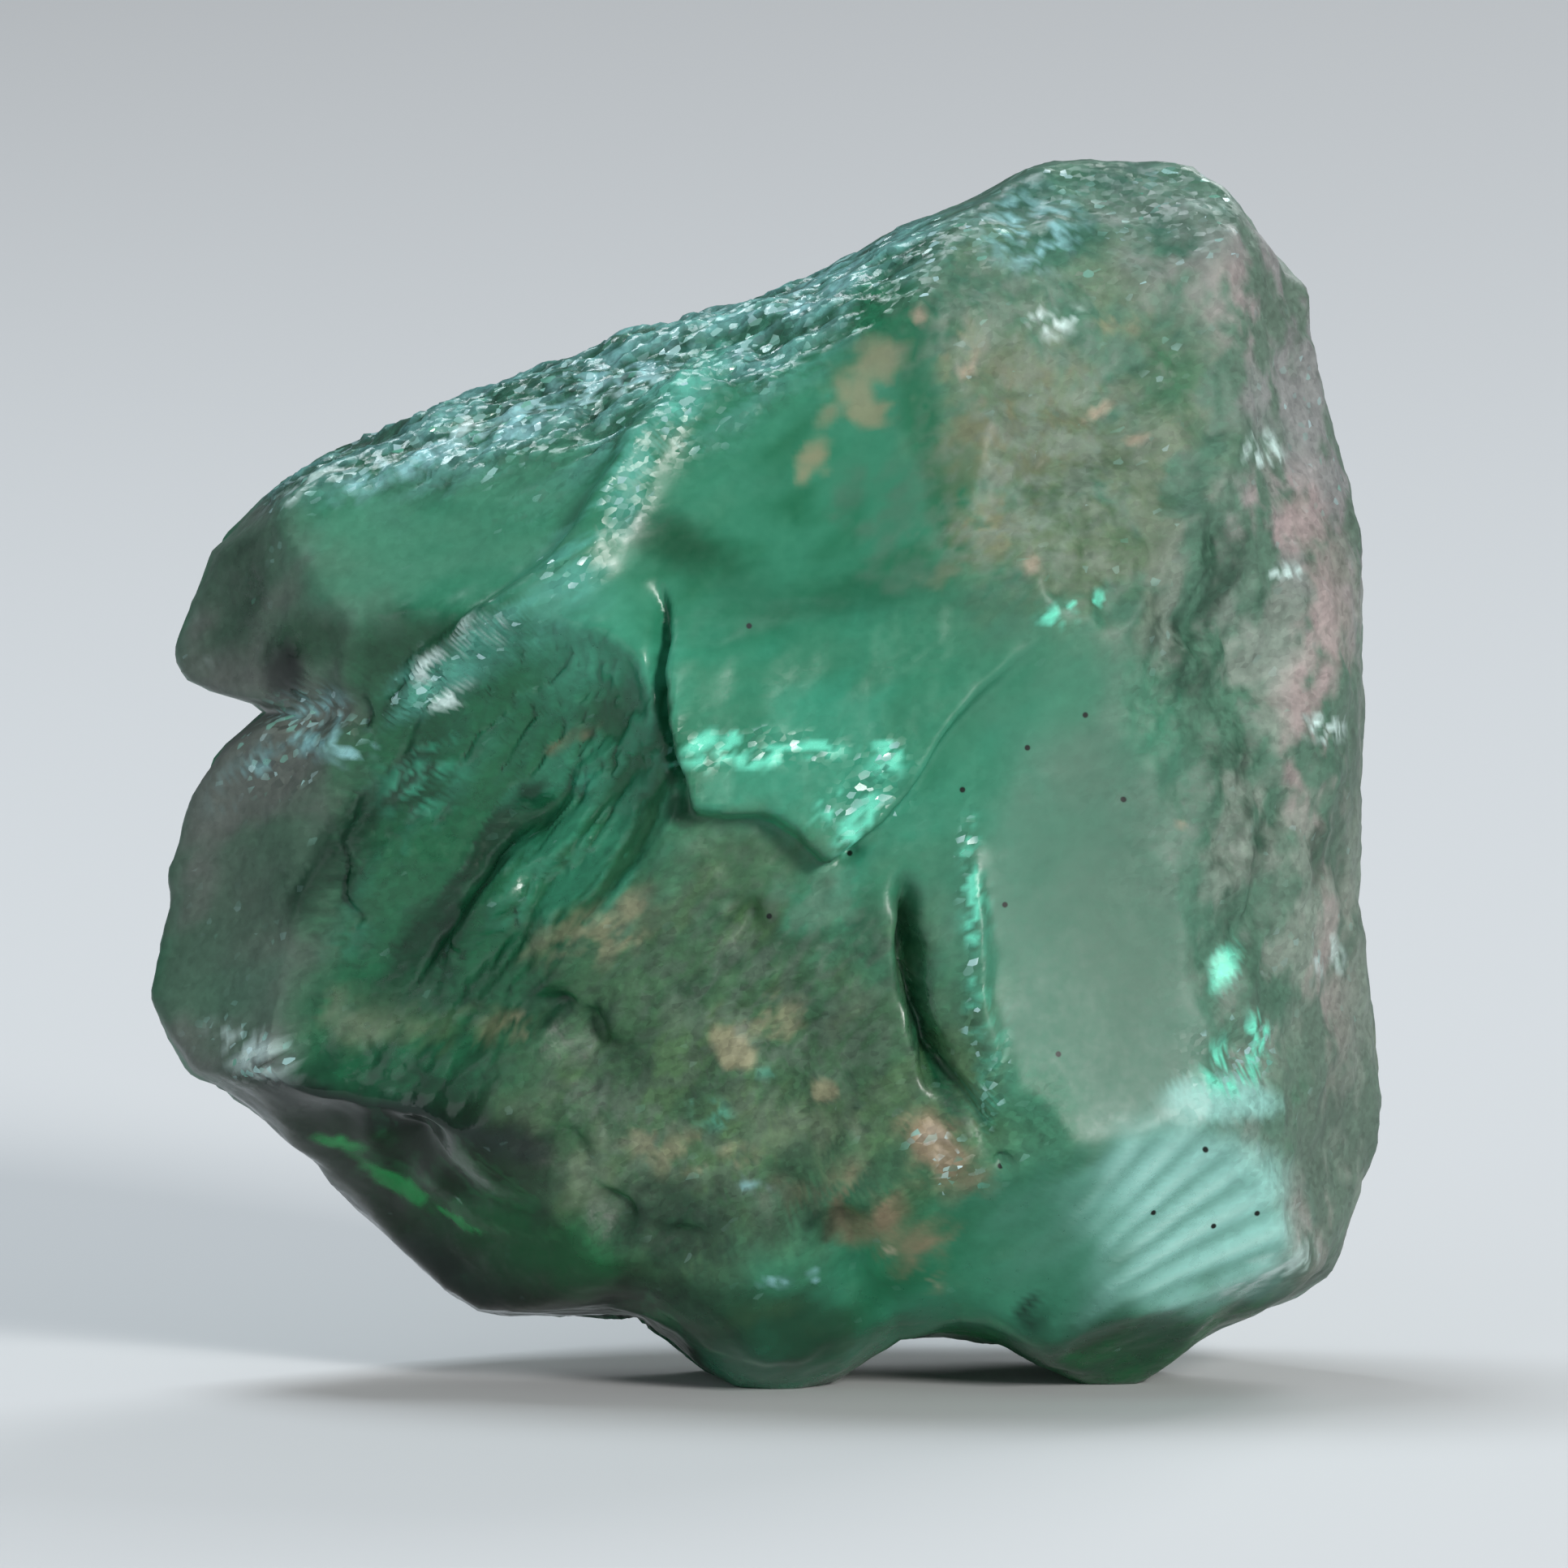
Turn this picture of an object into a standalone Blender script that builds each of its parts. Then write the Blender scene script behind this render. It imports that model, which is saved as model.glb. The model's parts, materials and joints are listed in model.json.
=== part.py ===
"""Rough emerald crystal: one broken piece of beryl, standing on two small feet.

Run it with blender --background --python part.py, or from Blender's text editor. Blender units are metres,
+Z is up, and the origin is on the ground under the middle of the stone.

The stone is one closed surface around a point inside it, its heart. Each direction from the heart meets the
surface once, at the nearest of the rounded body and the bowl-shaped breaks that took pieces off it. Its shape
is given in millimetres as it is seen from the front: across to the right, up, and out towards the eye, which
looks a little down.
"""

import math

import bmesh
import bpy
import numpy as np

MM = 0.001
LOOK_DOWN = math.radians(5.0)

# Driving sizes of the stone, in millimetres: how deep it is, where its heart is in the front view, how round
# its edges are, how much the ground takes off its feet, and where its middle is, which stands over the origin
FRONT_DEPTH = 6.7
BACK_DEPTH = 6.3
BODY_SQUARENESS = 2.5
BODY_ROUGHNESS = 0.11
HEART = np.array([0.8, 10.9, 0.0])
EDGE_ROUNDING = 0.09
FOOT_FLAT = 0.22
MIDDLE_ACROSS = 0.062
MIDDLE_BACK = 0.743

# The stone's material
EMERALD_COLOUR = (0.08, 0.34, 0.21, 1.0)
EMERALD_ROUGHNESS = 0.25
EMERALD_CLEARNESS = 0.6
EMERALD_IOR = 1.58

# The solid's mesh
GRID_CELLS = 72
WANTED_TRIANGLES = 9200
GRID_FLATNESS = 0.6
GROUND_CUT_SIZE = 60.0
FAR = 1.0e3
NOISE_REACH = 20.0

# The stone's outline from the front, clockwise from the tip of its nose: millimetres across and up
OUTLINE = [
    (-10.40, 13.05), (-10.20, 13.55), (-9.85, 14.30), (-9.65, 14.80), (-9.05, 15.35), (-8.45, 15.95),
    (-7.60, 16.50), (-6.25, 17.05), (-4.85, 17.65), (-3.45, 18.20), (-2.60, 18.55), (-1.60, 18.80),
    (-0.60, 19.05), (0.30, 19.35), (1.55, 19.95), (2.45, 20.50), (3.80, 21.05), (4.60, 21.50),
    (5.05, 21.65), (6.95, 21.65), (7.55, 21.55), (8.15, 21.20), (8.70, 20.50), (9.10, 19.95),
    (9.55, 19.35), (9.65, 18.55), (9.85, 17.65), (10.10, 16.50), (10.30, 15.85), (10.50, 14.80),
    (10.45, 13.35), (10.55, 11.95), (10.55, 11.20), (10.45, 10.20), (10.50, 8.50), (10.70, 6.80),
    (10.85, 5.20), (10.75, 4.35), (10.45, 3.45), (10.15, 2.55), (9.95, 2.10), (9.30, 1.65),
    (8.00, 1.10), (7.15, 0.50), (6.55, 0.10), (6.15, 0.00), (5.70, 0.10), (4.80, 0.50),
    (4.15, 0.85), (3.55, 0.95), (2.40, 0.95), (1.85, 0.65), (1.35, 0.30), (0.70, 0.05),
    (0.05, 0.00), (-0.50, 0.10), (-1.10, 0.45), (-1.60, 0.90), (-2.15, 1.25), (-2.75, 1.35),
    (-4.45, 1.35), (-5.00, 1.45), (-5.60, 1.80), (-6.15, 2.40), (-7.25, 3.35), (-7.85, 4.05),
    (-8.45, 4.50), (-9.10, 5.05), (-10.05, 5.65), (-10.40, 6.20), (-10.75, 7.00), (-10.85, 7.45),
    (-10.65, 8.05), (-10.45, 8.55), (-10.50, 9.20), (-10.35, 9.80), (-10.15, 10.30), (-9.75, 10.95),
    (-9.35, 11.40), (-9.00, 11.70), (-8.65, 12.00), (-9.10, 12.20), (-9.60, 12.30), (-10.05, 12.45),
    (-10.35, 12.75),
]

# Breaks: a point on each, the way it faces, the radius of its bowl and how rough it is, in millimetres
BREAKS = {
    "slab": ((-5.3, 15.0, 3.3), (-0.26, 0.40, 0.88), 16.0, 0.04),
    "top_band": ((-3.8, 17.2, 2.5), (-0.28, 0.74, 0.61), 40.0, 0.18),
    "smooth_bowl": ((-0.6, 16.0, 4.1), (-0.05, 0.30, 0.95), 16.0, 0.03),
    "tongue_face": ((0.9, 12.3, 5.3), (0.00, -0.05, 1.00), 30.0, 0.05),
    "grainy_shoulder": ((5.1, 16.3, 4.5), (0.22, 0.38, 0.90), 60.0, 0.22),
    "top_cap": ((6.3, 20.7, 2.0), (0.10, 0.72, 0.69), 30.0, 0.15),
    "frosted_face": ((5.6, 8.6, 5.0), (0.20, -0.02, 0.98), 22.0, 0.02),
    "right_band": ((8.6, 10.3, 3.6), (0.62, 0.04, 0.78), 60.0, 0.22),
    "right_skin_high": ((9.3, 17.0, 1.9), (0.80, 0.25, 0.55), 60.0, 0.16),
    "right_skin_low": ((9.9, 7.5, 2.0), (0.88, -0.05, 0.47), 60.0, 0.16),
    "fan": ((7.2, 2.9, 3.9), (0.22, -0.48, 0.85), 20.0, 0.02),
    "fan_undercut": ((6.6, 0.9, 2.0), (0.15, -0.88, 0.45), 12.0, 0.08),
    "low_front": ((3.2, 2.6, 3.9), (0.02, -0.58, 0.81), 18.0, 0.06),
    "brown_face": ((-0.8, 6.6, 4.6), (-0.12, -0.22, 0.97), 40.0, 0.24),
    "left_valley": ((-5.4, 10.2, 3.3), (-0.28, 0.10, 0.95), 6.5, 0.16),
    "valley_foot": ((-5.9, 8.0, 3.1), (-0.30, -0.14, 0.94), 6.0, 0.16),
    "valley_side": ((-3.3, 10.6, 3.9), (-0.42, 0.02, 0.91), 4.5, 0.14),
    "left_cheek": ((-9.2, 9.4, 1.7), (-0.66, 0.08, 0.75), 30.0, 0.14),
    "low_left_lobe": ((-5.9, 3.9, 2.4), (-0.46, -0.66, 0.60), 14.0, 0.08),
    "back_prism_wide": ((3.0, 11.2, -5.0), (0.10, 0.12, -0.99), 400.0, 0.03),
    "back_prism_left": ((-5.6, 10.6, -3.6), (-0.66, 0.02, -0.75), 400.0, 0.04),
    "back_high_bowl": ((-2.8, 16.4, -3.4), (-0.30, 0.66, -0.69), 11.0, 0.10),
    "back_low_bowl": ((-1.2, 3.6, -3.6), (-0.16, -0.66, -0.73), 12.0, 0.12),
    "back_right": ((8.8, 9.4, -3.2), (0.78, -0.04, -0.62), 60.0, 0.12),
    "back_top": ((6.3, 19.6, -2.4), (0.18, 0.78, -0.60), 16.0, 0.12),
    "back_low_right": ((7.4, 3.4, -3.0), (0.48, -0.52, -0.71), 14.0, 0.12),
}

# The tongue: a ledge that stands proud of the front, hinged on its top edge and rising softly below it
TONGUE = [
    (-1.80, 14.00), (-1.60, 12.20), (-1.30, 10.70), (-1.05, 10.35), (0.15, 10.05), (1.15, 9.50),
    (1.90, 10.05), (2.65, 10.95), (3.25, 11.80), (4.25, 12.80), (5.50, 13.80),
]
TONGUE_TOP = 14.2
TONGUE_HEIGHT = 0.80
TONGUE_HINGE = 2.3
TONGUE_WALL = 0.14

# Ridges and cracks drawn on the front: height, half width and the points each one runs through
RIDGES = {
    "sparkling_ridge": (0.50, 0.42, [(-0.75, 18.20), (-2.00, 16.80), (-2.85, 14.80), (-4.30, 13.65),
                                     (-5.75, 12.80), (-6.60, 11.65)]),
    "glinting_ridge": (0.20, 0.20, [(3.65, 9.70), (3.55, 8.95), (3.75, 6.95), (3.85, 5.65), (4.10, 5.00)]),
    "ochre_ridge": (0.40, 0.40, [(-8.15, 6.50), (-6.95, 6.80), (-6.00, 6.20), (-4.85, 6.05), (-4.00, 6.50)]),
    "lobe_brow": (0.25, 0.40, [(-8.60, 5.20), (-7.20, 5.75), (-5.60, 5.80), (-4.60, 5.30)]),
    "dark_crack": (-1.10, 0.17, [(2.40, 9.20), (2.55, 8.20), (2.70, 7.05), (3.10, 5.50), (3.55, 4.95),
                                 (4.00, 4.40)]),
    "tongue_crack": (-0.60, 0.12, [(-1.90, 14.20), (-1.75, 12.20), (-1.50, 10.90), (-1.30, 10.20)]),
    "notch_groove": (-0.60, 0.40, [(-8.90, 12.10), (-8.20, 11.95), (-7.00, 12.20)]),
    "lobe_trough": (-0.35, 0.45, [(-4.10, 5.00), (-3.30, 3.70), (-2.50, 2.20)]),
    "bump_trough": (-0.45, 0.50, [(1.90, 1.20), (1.60, 2.40), (0.90, 3.20)]),
    "valley_trough": (-0.50, 0.40, [(-3.10, 10.80), (-4.60, 9.90), (-5.70, 8.70), (-6.50, 7.20)]),
    "valley_side_trough": (-0.35, 0.30, [(-6.90, 11.00), (-7.80, 9.80), (-7.60, 8.60), (-7.00, 7.60)]),
    "valley_rib": (0.28, 0.28, [(-2.60, 10.20), (-4.20, 9.30), (-5.00, 8.10), (-5.30, 6.90)]),
}
LINE_TAPER = 0.25
LINE_RAGGEDNESS = 0.13

# Pits in the front: across, up, radius and depth
PITS = [
    (-0.30, 8.35, 0.34, 0.35), (-3.80, 6.60, 0.40, 0.45), (-3.05, 6.30, 0.34, 0.45),
    (-1.55, 2.55, 0.45, 0.40), (-2.65, 5.35, 0.60, 0.30), (1.50, 9.50, 0.16, 0.30),
    (4.15, 4.05, 0.16, 0.30), (-6.20, 4.50, 0.50, 0.35), (0.30, 3.55, 0.50, 0.30),
    (-2.70, 2.90, 0.45, 0.30), (0.95, 5.75, 0.45, -0.20), (-0.55, 6.10, 0.50, -0.22),
    (8.20, 7.40, 0.45, -0.30), (8.10, 5.80, 0.50, 0.30), (8.40, 12.40, 0.60, 0.25),
    (7.60, 13.60, 0.70, 0.30),
]


def cube_directions(cells):
    """Directions over a ball and the quads between them: six square grids of equal angles, sewn together."""
    turn = np.tan(np.linspace(-math.pi / 4, math.pi / 4, cells + 1))
    first, second = np.meshgrid(turn, turn, indexing="ij")
    ones = np.ones_like(first)
    grids = []
    for axis in range(3):
        for side in (1.0, -1.0):
            grid = np.stack([side * ones, side * first, second], axis=-1)
            grids.append(np.roll(grid, axis, axis=-1).reshape(-1, 3))
    corner = np.arange((cells + 1) ** 2).reshape(cells + 1, cells + 1)
    square = np.stack([corner[:-1, :-1], corner[1:, :-1], corner[1:, 1:], corner[:-1, 1:]], axis=-1)
    square = square.reshape(-1, 4)
    quads = np.concatenate([square + k * corner.size for k in range(len(grids))])
    ways = np.concatenate(grids)
    ways = ways / np.linalg.norm(ways, axis=1, keepdims=True)
    _, kept, place = np.unique(np.round(ways, 6), axis=0, return_index=True, return_inverse=True)
    return ways[kept], place.reshape(-1)[quads]


def unit(vector):
    return np.asarray(vector, float) / np.linalg.norm(vector)


def outline_reach(ways):
    """Distance from the heart to the outline along each direction's shadow on the front plane."""
    corners = np.array(OUTLINE) - HEART[:2]
    bearing = np.arctan2(corners[:, 1], corners[:, 0])
    corners = corners[np.argsort(bearing)]
    bearing = np.sort(bearing)
    after = np.roll(corners, -1, axis=0)
    heading = np.arctan2(ways[:, 1], ways[:, 0])
    edge = (np.searchsorted(bearing, heading) - 1) % len(bearing)
    start, run = corners[edge], (after - corners)[edge]
    across, up = np.cos(heading), np.sin(heading)
    return (start[:, 0] * run[:, 1] - start[:, 1] * run[:, 0]) / (across * run[:, 1] - up * run[:, 0])


def body_reach(ways):
    """Distance from the heart to the rounded body: a superellipse from the outline to its front or back."""
    depth = np.where(ways[:, 2] > 0, FRONT_DEPTH, BACK_DEPTH)
    flat = np.hypot(ways[:, 0], ways[:, 1]) / outline_reach(ways)
    deep = np.abs(ways[:, 2]) / depth
    return (flat**BODY_SQUARENESS + deep**BODY_SQUARENESS) ** (-1 / BODY_SQUARENESS)


def bowl_reach(ways, point, facing, radius):
    """Distance from the heart to a break: the near side of a ball centred out along the way it faces."""
    ball = np.array(point) - HEART + unit(facing) * radius
    along = ways @ ball
    length = (ways**2).sum(axis=1)
    root = along**2 - length * (ball @ ball - radius**2)
    met = (root > 0) & (along > 0)
    return np.where(met, (along - np.sqrt(np.where(met, root, 0.0))) / length, FAR)


def lattice_value(cell, seed):
    """A number from -1 to 1 for each whole-number cell, always the same for the same cell and seed."""
    mixed = (cell * np.array([73856093, 19349663, 83492791])).sum(axis=-1) + seed * 374761393
    mixed = ((mixed ^ (mixed >> 13)) * 1274126177) & 0xFFFFFFFF
    return ((mixed ^ (mixed >> 15)) & 0xFFFF) / 32767.5 - 1.0


def hackly_noise(points, size, seed):
    """Noise with flat facets: values on a cube lattice, joined by straight slopes over its tetrahedra."""
    scaled = points / size + seed
    cell = np.floor(scaled).astype(np.int64)
    part = scaled - cell
    order = np.argsort(-part, axis=1)
    share = np.take_along_axis(part, order, axis=1)
    step = np.eye(3, dtype=np.int64)[order]
    second = cell + step[:, 0]
    third = second + step[:, 1]
    return (
        (1 - share[:, 0]) * lattice_value(cell, seed)
        + (share[:, 0] - share[:, 1]) * lattice_value(second, seed)
        + (share[:, 1] - share[:, 2]) * lattice_value(third, seed)
        + share[:, 2] * lattice_value(cell + 1, seed)
    )


def line_nearness(spots, points):
    """How far each spot is from a line through the points, and where along it, from 0 at its start to 1."""
    start = np.array(points[:-1])
    run = np.array(points[1:]) - start
    away = spots[:, None, :] - start
    share = np.clip((away * run).sum(axis=2) / (run**2).sum(axis=1), 0.0, 1.0)
    gap = away - share[..., None] * run
    gap = np.hypot(gap[..., 0], gap[..., 1])
    nearest = gap.argmin(axis=1)
    each = np.arange(len(spots))
    length = np.hypot(run[:, 0], run[:, 1])
    before = np.cumsum(length) - length
    along = before[nearest] + share[each, nearest] * length[nearest]
    return gap[each, nearest], along / length.sum()


def polygon_depth(spots, points):
    """Distance from each spot to a polygon's edge, counted as more than nought inside it and less outside."""
    edge, _ = line_nearness(spots, points + points[:1])
    inside = np.zeros(len(spots), bool)
    for (x0, y0), (x1, y1) in zip(points, points[1:] + points[:1]):
        crosses = (y0 > spots[:, 1]) != (y1 > spots[:, 1])
        meets = x0 + (spots[:, 1] - y0) * (x1 - x0) / (y1 - y0 if y1 != y0 else 1.0)
        inside ^= crosses & (spots[:, 0] < meets)
    return np.where(inside, edge, -edge)


def step_up(value):
    """A smooth step from 0 at -1 to 1 at +1."""
    share = np.clip(value / 2 + 0.5, 0.0, 1.0)
    return share * share * (3 - 2 * share)


def front_relief(spots):
    """How far the tongue, ridges, cracks and pits stand out from the front at each spot across and up."""
    flat = np.column_stack([spots, np.zeros(len(spots))])
    ragged = np.stack([hackly_noise(flat, 0.6, 61), hackly_noise(flat, 0.6, 62)], axis=1)
    spots = spots + LINE_RAGGEDNESS * ragged
    below_top = np.clip(TONGUE_TOP - spots[:, 1], 0.0, None)
    rise = TONGUE_HEIGHT * (1 - np.exp(-((below_top / TONGUE_HINGE) ** 2)))
    relief = rise * step_up(polygon_depth(spots, TONGUE) / TONGUE_WALL)
    for height, half_width, points in RIDGES.values():
        gap, along = line_nearness(spots, points)
        taper = np.minimum(1.0, np.minimum(along, 1 - along) / LINE_TAPER)
        relief += height * taper * np.exp(-((gap / half_width) ** 2))
    for across, up, radius, depth in PITS:
        relief -= depth * np.exp(-((spots[:, 0] - across) ** 2 + (spots[:, 1] - up) ** 2) / radius**2)
    return relief


def sheet_reaches(ways):
    """Distance from the heart to the rough body and to each rough break, one row for each in their order."""
    sheets = [(body_reach(ways), BODY_ROUGHNESS)]
    for point, facing, radius, rough in BREAKS.values():
        sheets.append((bowl_reach(ways, point, facing, radius), rough))
    reaches = []
    for number, (reach, rough) in enumerate(sheets):
        near = ways * np.minimum(reach, NOISE_REACH)[:, None]
        grain = hackly_noise(near, 1.3, number + 1) + 0.5 * hackly_noise(near, 0.6, number + 40)
        reaches.append(reach + rough * grain)
    return np.array(reaches)


def stone_reach(ways):
    """Distance from the heart to the surface: a soft least of the body and of all the breaks."""
    reaches = sheet_reaches(ways)
    least = reaches.min(axis=0)
    gaps = np.minimum((reaches - least) / EDGE_ROUNDING, 60.0)
    return least - EDGE_ROUNDING * np.log(np.exp(-gaps).sum(axis=0))


def stone_points(ways):
    """The surface in front-view millimetres: across, up and out, with the relief pushed along each way."""
    points = HEART + ways * stone_reach(ways)[:, None]
    steep = ways / np.linalg.norm(ways, axis=1, keepdims=True)
    facing = step_up((steep[:, 2] - 0.18) / 0.12)
    return points + steep * (facing * front_relief(points[:, :2]))[:, None]


def to_world(points):
    """Front-view millimetres turned by the eye's downward look into metres, with the feet at the ground."""
    across, up, out = points.T
    down, level = math.sin(LOOK_DOWN), math.cos(LOOK_DOWN)
    back = up * down - out * level - MIDDLE_BACK
    return np.stack([across - MIDDLE_ACROSS, back, up * level + out * down - FOOT_FLAT], axis=1) * MM


def paint(name, colour, roughness):
    """A see-through green material for the solid."""
    material = bpy.data.materials.new(name)
    material.use_nodes = True
    shader = material.node_tree.nodes["Principled BSDF"]
    shader.inputs["Base Color"].default_value = colour
    shader.inputs["Roughness"].default_value = roughness
    shader.inputs["Transmission Weight"].default_value = EMERALD_CLEARNESS
    shader.inputs["IOR"].default_value = EMERALD_IOR
    return material


def stone_mesh(name):
    """The whole surface on the fine grid."""
    ways, quads = cube_directions(GRID_CELLS)
    points = to_world(stone_points(ways * np.array([1.0, 1.0, GRID_FLATNESS])))
    mesh = bpy.data.meshes.new(name)
    mesh.from_pydata(points.tolist(), [], quads.tolist())
    mesh.update()
    return mesh


def ground_cutter(stone):
    """A box whose top is the ground, which takes the undersides of the feet off flat."""
    mesh = bpy.data.meshes.new("ground_cut")
    shape = bmesh.new()
    bmesh.ops.create_cube(shape, size=GROUND_CUT_SIZE * MM)
    bmesh.ops.translate(shape, verts=shape.verts, vec=(0.0, 0.0, -GROUND_CUT_SIZE * MM / 2))
    shape.to_mesh(mesh)
    shape.free()
    cutter = bpy.data.objects.new("ground_cut", mesh)
    bpy.context.scene.collection.objects.link(cutter)
    cutter.hide_render = True
    cutter.display_type = "WIRE"
    cut = stone.modifiers.new("flat feet", "BOOLEAN")
    cut.operation = "DIFFERENCE"
    cut.solver = "EXACT"
    cut.object = cutter


def main():
    for old in list(bpy.data.objects):
        bpy.data.objects.remove(old)
    mesh = stone_mesh("emerald_crystal")
    stone = bpy.data.objects.new("emerald_crystal", mesh)
    bpy.context.scene.collection.objects.link(stone)
    mesh.materials.append(paint("emerald", EMERALD_COLOUR, EMERALD_ROUGHNESS))
    thin = stone.modifiers.new("fewer triangles", "DECIMATE")
    thin.decimate_type = "COLLAPSE"
    thin.ratio = WANTED_TRIANGLES / (2 * len(mesh.polygons))
    ground_cutter(stone)


if __name__ == "__main__":
    main()
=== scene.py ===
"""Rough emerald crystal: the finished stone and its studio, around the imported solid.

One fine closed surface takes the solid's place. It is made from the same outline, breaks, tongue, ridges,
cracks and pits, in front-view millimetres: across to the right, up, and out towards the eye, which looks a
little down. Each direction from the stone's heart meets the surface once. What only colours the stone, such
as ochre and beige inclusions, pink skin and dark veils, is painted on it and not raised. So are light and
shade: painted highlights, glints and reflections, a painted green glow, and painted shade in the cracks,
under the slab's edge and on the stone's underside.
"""

import json
import math

import bpy
import numpy as np
from bpy.props import FloatProperty, FloatVectorProperty, IntProperty, PointerProperty
from mathutils import Matrix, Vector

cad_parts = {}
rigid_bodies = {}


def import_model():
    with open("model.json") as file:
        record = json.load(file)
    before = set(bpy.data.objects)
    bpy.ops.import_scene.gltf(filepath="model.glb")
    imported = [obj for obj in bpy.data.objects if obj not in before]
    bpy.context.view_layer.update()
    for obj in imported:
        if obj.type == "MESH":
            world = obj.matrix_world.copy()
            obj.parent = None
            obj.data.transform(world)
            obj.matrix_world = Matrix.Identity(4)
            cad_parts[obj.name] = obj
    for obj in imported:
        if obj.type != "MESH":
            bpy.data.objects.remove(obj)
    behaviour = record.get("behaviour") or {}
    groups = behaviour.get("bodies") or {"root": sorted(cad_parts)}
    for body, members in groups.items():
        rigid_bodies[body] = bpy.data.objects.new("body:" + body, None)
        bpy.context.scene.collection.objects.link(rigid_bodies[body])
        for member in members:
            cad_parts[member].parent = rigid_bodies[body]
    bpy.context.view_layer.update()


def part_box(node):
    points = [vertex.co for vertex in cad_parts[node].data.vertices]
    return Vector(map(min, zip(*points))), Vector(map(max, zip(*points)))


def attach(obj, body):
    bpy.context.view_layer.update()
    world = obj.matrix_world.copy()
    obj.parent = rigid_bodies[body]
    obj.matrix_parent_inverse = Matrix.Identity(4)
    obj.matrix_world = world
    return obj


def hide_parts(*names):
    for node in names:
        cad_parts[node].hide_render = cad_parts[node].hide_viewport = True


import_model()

bl_info = {
    "name": "Rough Emerald Crystal",
    "version": (1, 0, 0),
    "blender": (4, 5, 0),
    "location": "View3D > Sidebar > Emerald",
    "description": "Builds a rough emerald crystal and the studio it stands in",
    "category": "Add Mesh",
}

NODE = "emerald_crystal"
PIECE = "emerald_surface"

# A millimetre in metres, and how far the eye looks down
MM = 0.001
LOOK_DOWN = math.radians(5.0)

# Driving sizes of the stone, in millimetres: how deep it is, where its heart is in the front view, how round
# its edges are, how much the ground takes off its feet, and where its middle is, which stands over the origin
FRONT_DEPTH = 6.7
BACK_DEPTH = 6.3
BODY_SQUARENESS = 2.5
BODY_ROUGHNESS = 0.11
HEART = np.array([0.8, 10.9, 0.0])
EDGE_ROUNDING = 0.09
FOOT_FLAT = 0.22
MIDDLE_ACROSS = 0.062
MIDDLE_BACK = 0.743

# How far off a break lies that a way doesn't meet, and how far out noise is still worked out, in mm
FAR = 1.0e3
NOISE_REACH = 20.0

# The gap, counted in blends, past which a break has no say at all
GAP_LIMIT = 60.0

# Whole numbers that mix a lattice cell's place and the draw's number into what looks like chance
CELL_MIX = np.array([73856093, 19349663, 83492791])
DRAW_MIX = 374761393
BIT_MIX = 1274126177

# The stone's outline from the front, clockwise from the tip of its nose: millimetres across and up
OUTLINE = [
    (-10.40, 13.05), (-10.20, 13.55), (-9.85, 14.30), (-9.65, 14.80), (-9.05, 15.35), (-8.45, 15.95),
    (-7.60, 16.50), (-6.25, 17.05), (-4.85, 17.65), (-3.45, 18.20), (-2.60, 18.55), (-1.60, 18.80),
    (-0.60, 19.05), (0.30, 19.35), (1.55, 19.95), (2.45, 20.50), (3.80, 21.05), (4.60, 21.50),
    (5.05, 21.65), (6.95, 21.65), (7.55, 21.55), (8.15, 21.20), (8.70, 20.50), (9.10, 19.95),
    (9.55, 19.35), (9.65, 18.55), (9.85, 17.65), (10.10, 16.50), (10.30, 15.85), (10.50, 14.80),
    (10.45, 13.35), (10.55, 11.95), (10.55, 11.20), (10.45, 10.20), (10.50, 8.50), (10.70, 6.80),
    (10.85, 5.20), (10.75, 4.35), (10.45, 3.45), (10.15, 2.55), (9.95, 2.10), (9.30, 1.65),
    (8.00, 1.10), (7.15, 0.50), (6.55, 0.10), (6.15, 0.00), (5.70, 0.10), (4.80, 0.50),
    (4.15, 0.85), (3.55, 0.95), (2.40, 0.95), (1.85, 0.65), (1.35, 0.30), (0.70, 0.05),
    (0.05, 0.00), (-0.50, 0.10), (-1.10, 0.45), (-1.60, 0.90), (-2.15, 1.25), (-2.75, 1.35),
    (-4.45, 1.35), (-5.00, 1.45), (-5.60, 1.80), (-6.15, 2.40), (-7.25, 3.35), (-7.85, 4.05),
    (-8.45, 4.50), (-9.10, 5.05), (-10.05, 5.65), (-10.40, 6.20), (-10.75, 7.00), (-10.85, 7.45),
    (-10.65, 8.05), (-10.45, 8.55), (-10.50, 9.20), (-10.35, 9.80), (-10.15, 10.30), (-9.75, 10.95),
    (-9.35, 11.40), (-9.00, 11.70), (-8.65, 12.00), (-9.10, 12.20), (-9.60, 12.30), (-10.05, 12.45),
    (-10.35, 12.75),
]

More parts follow.
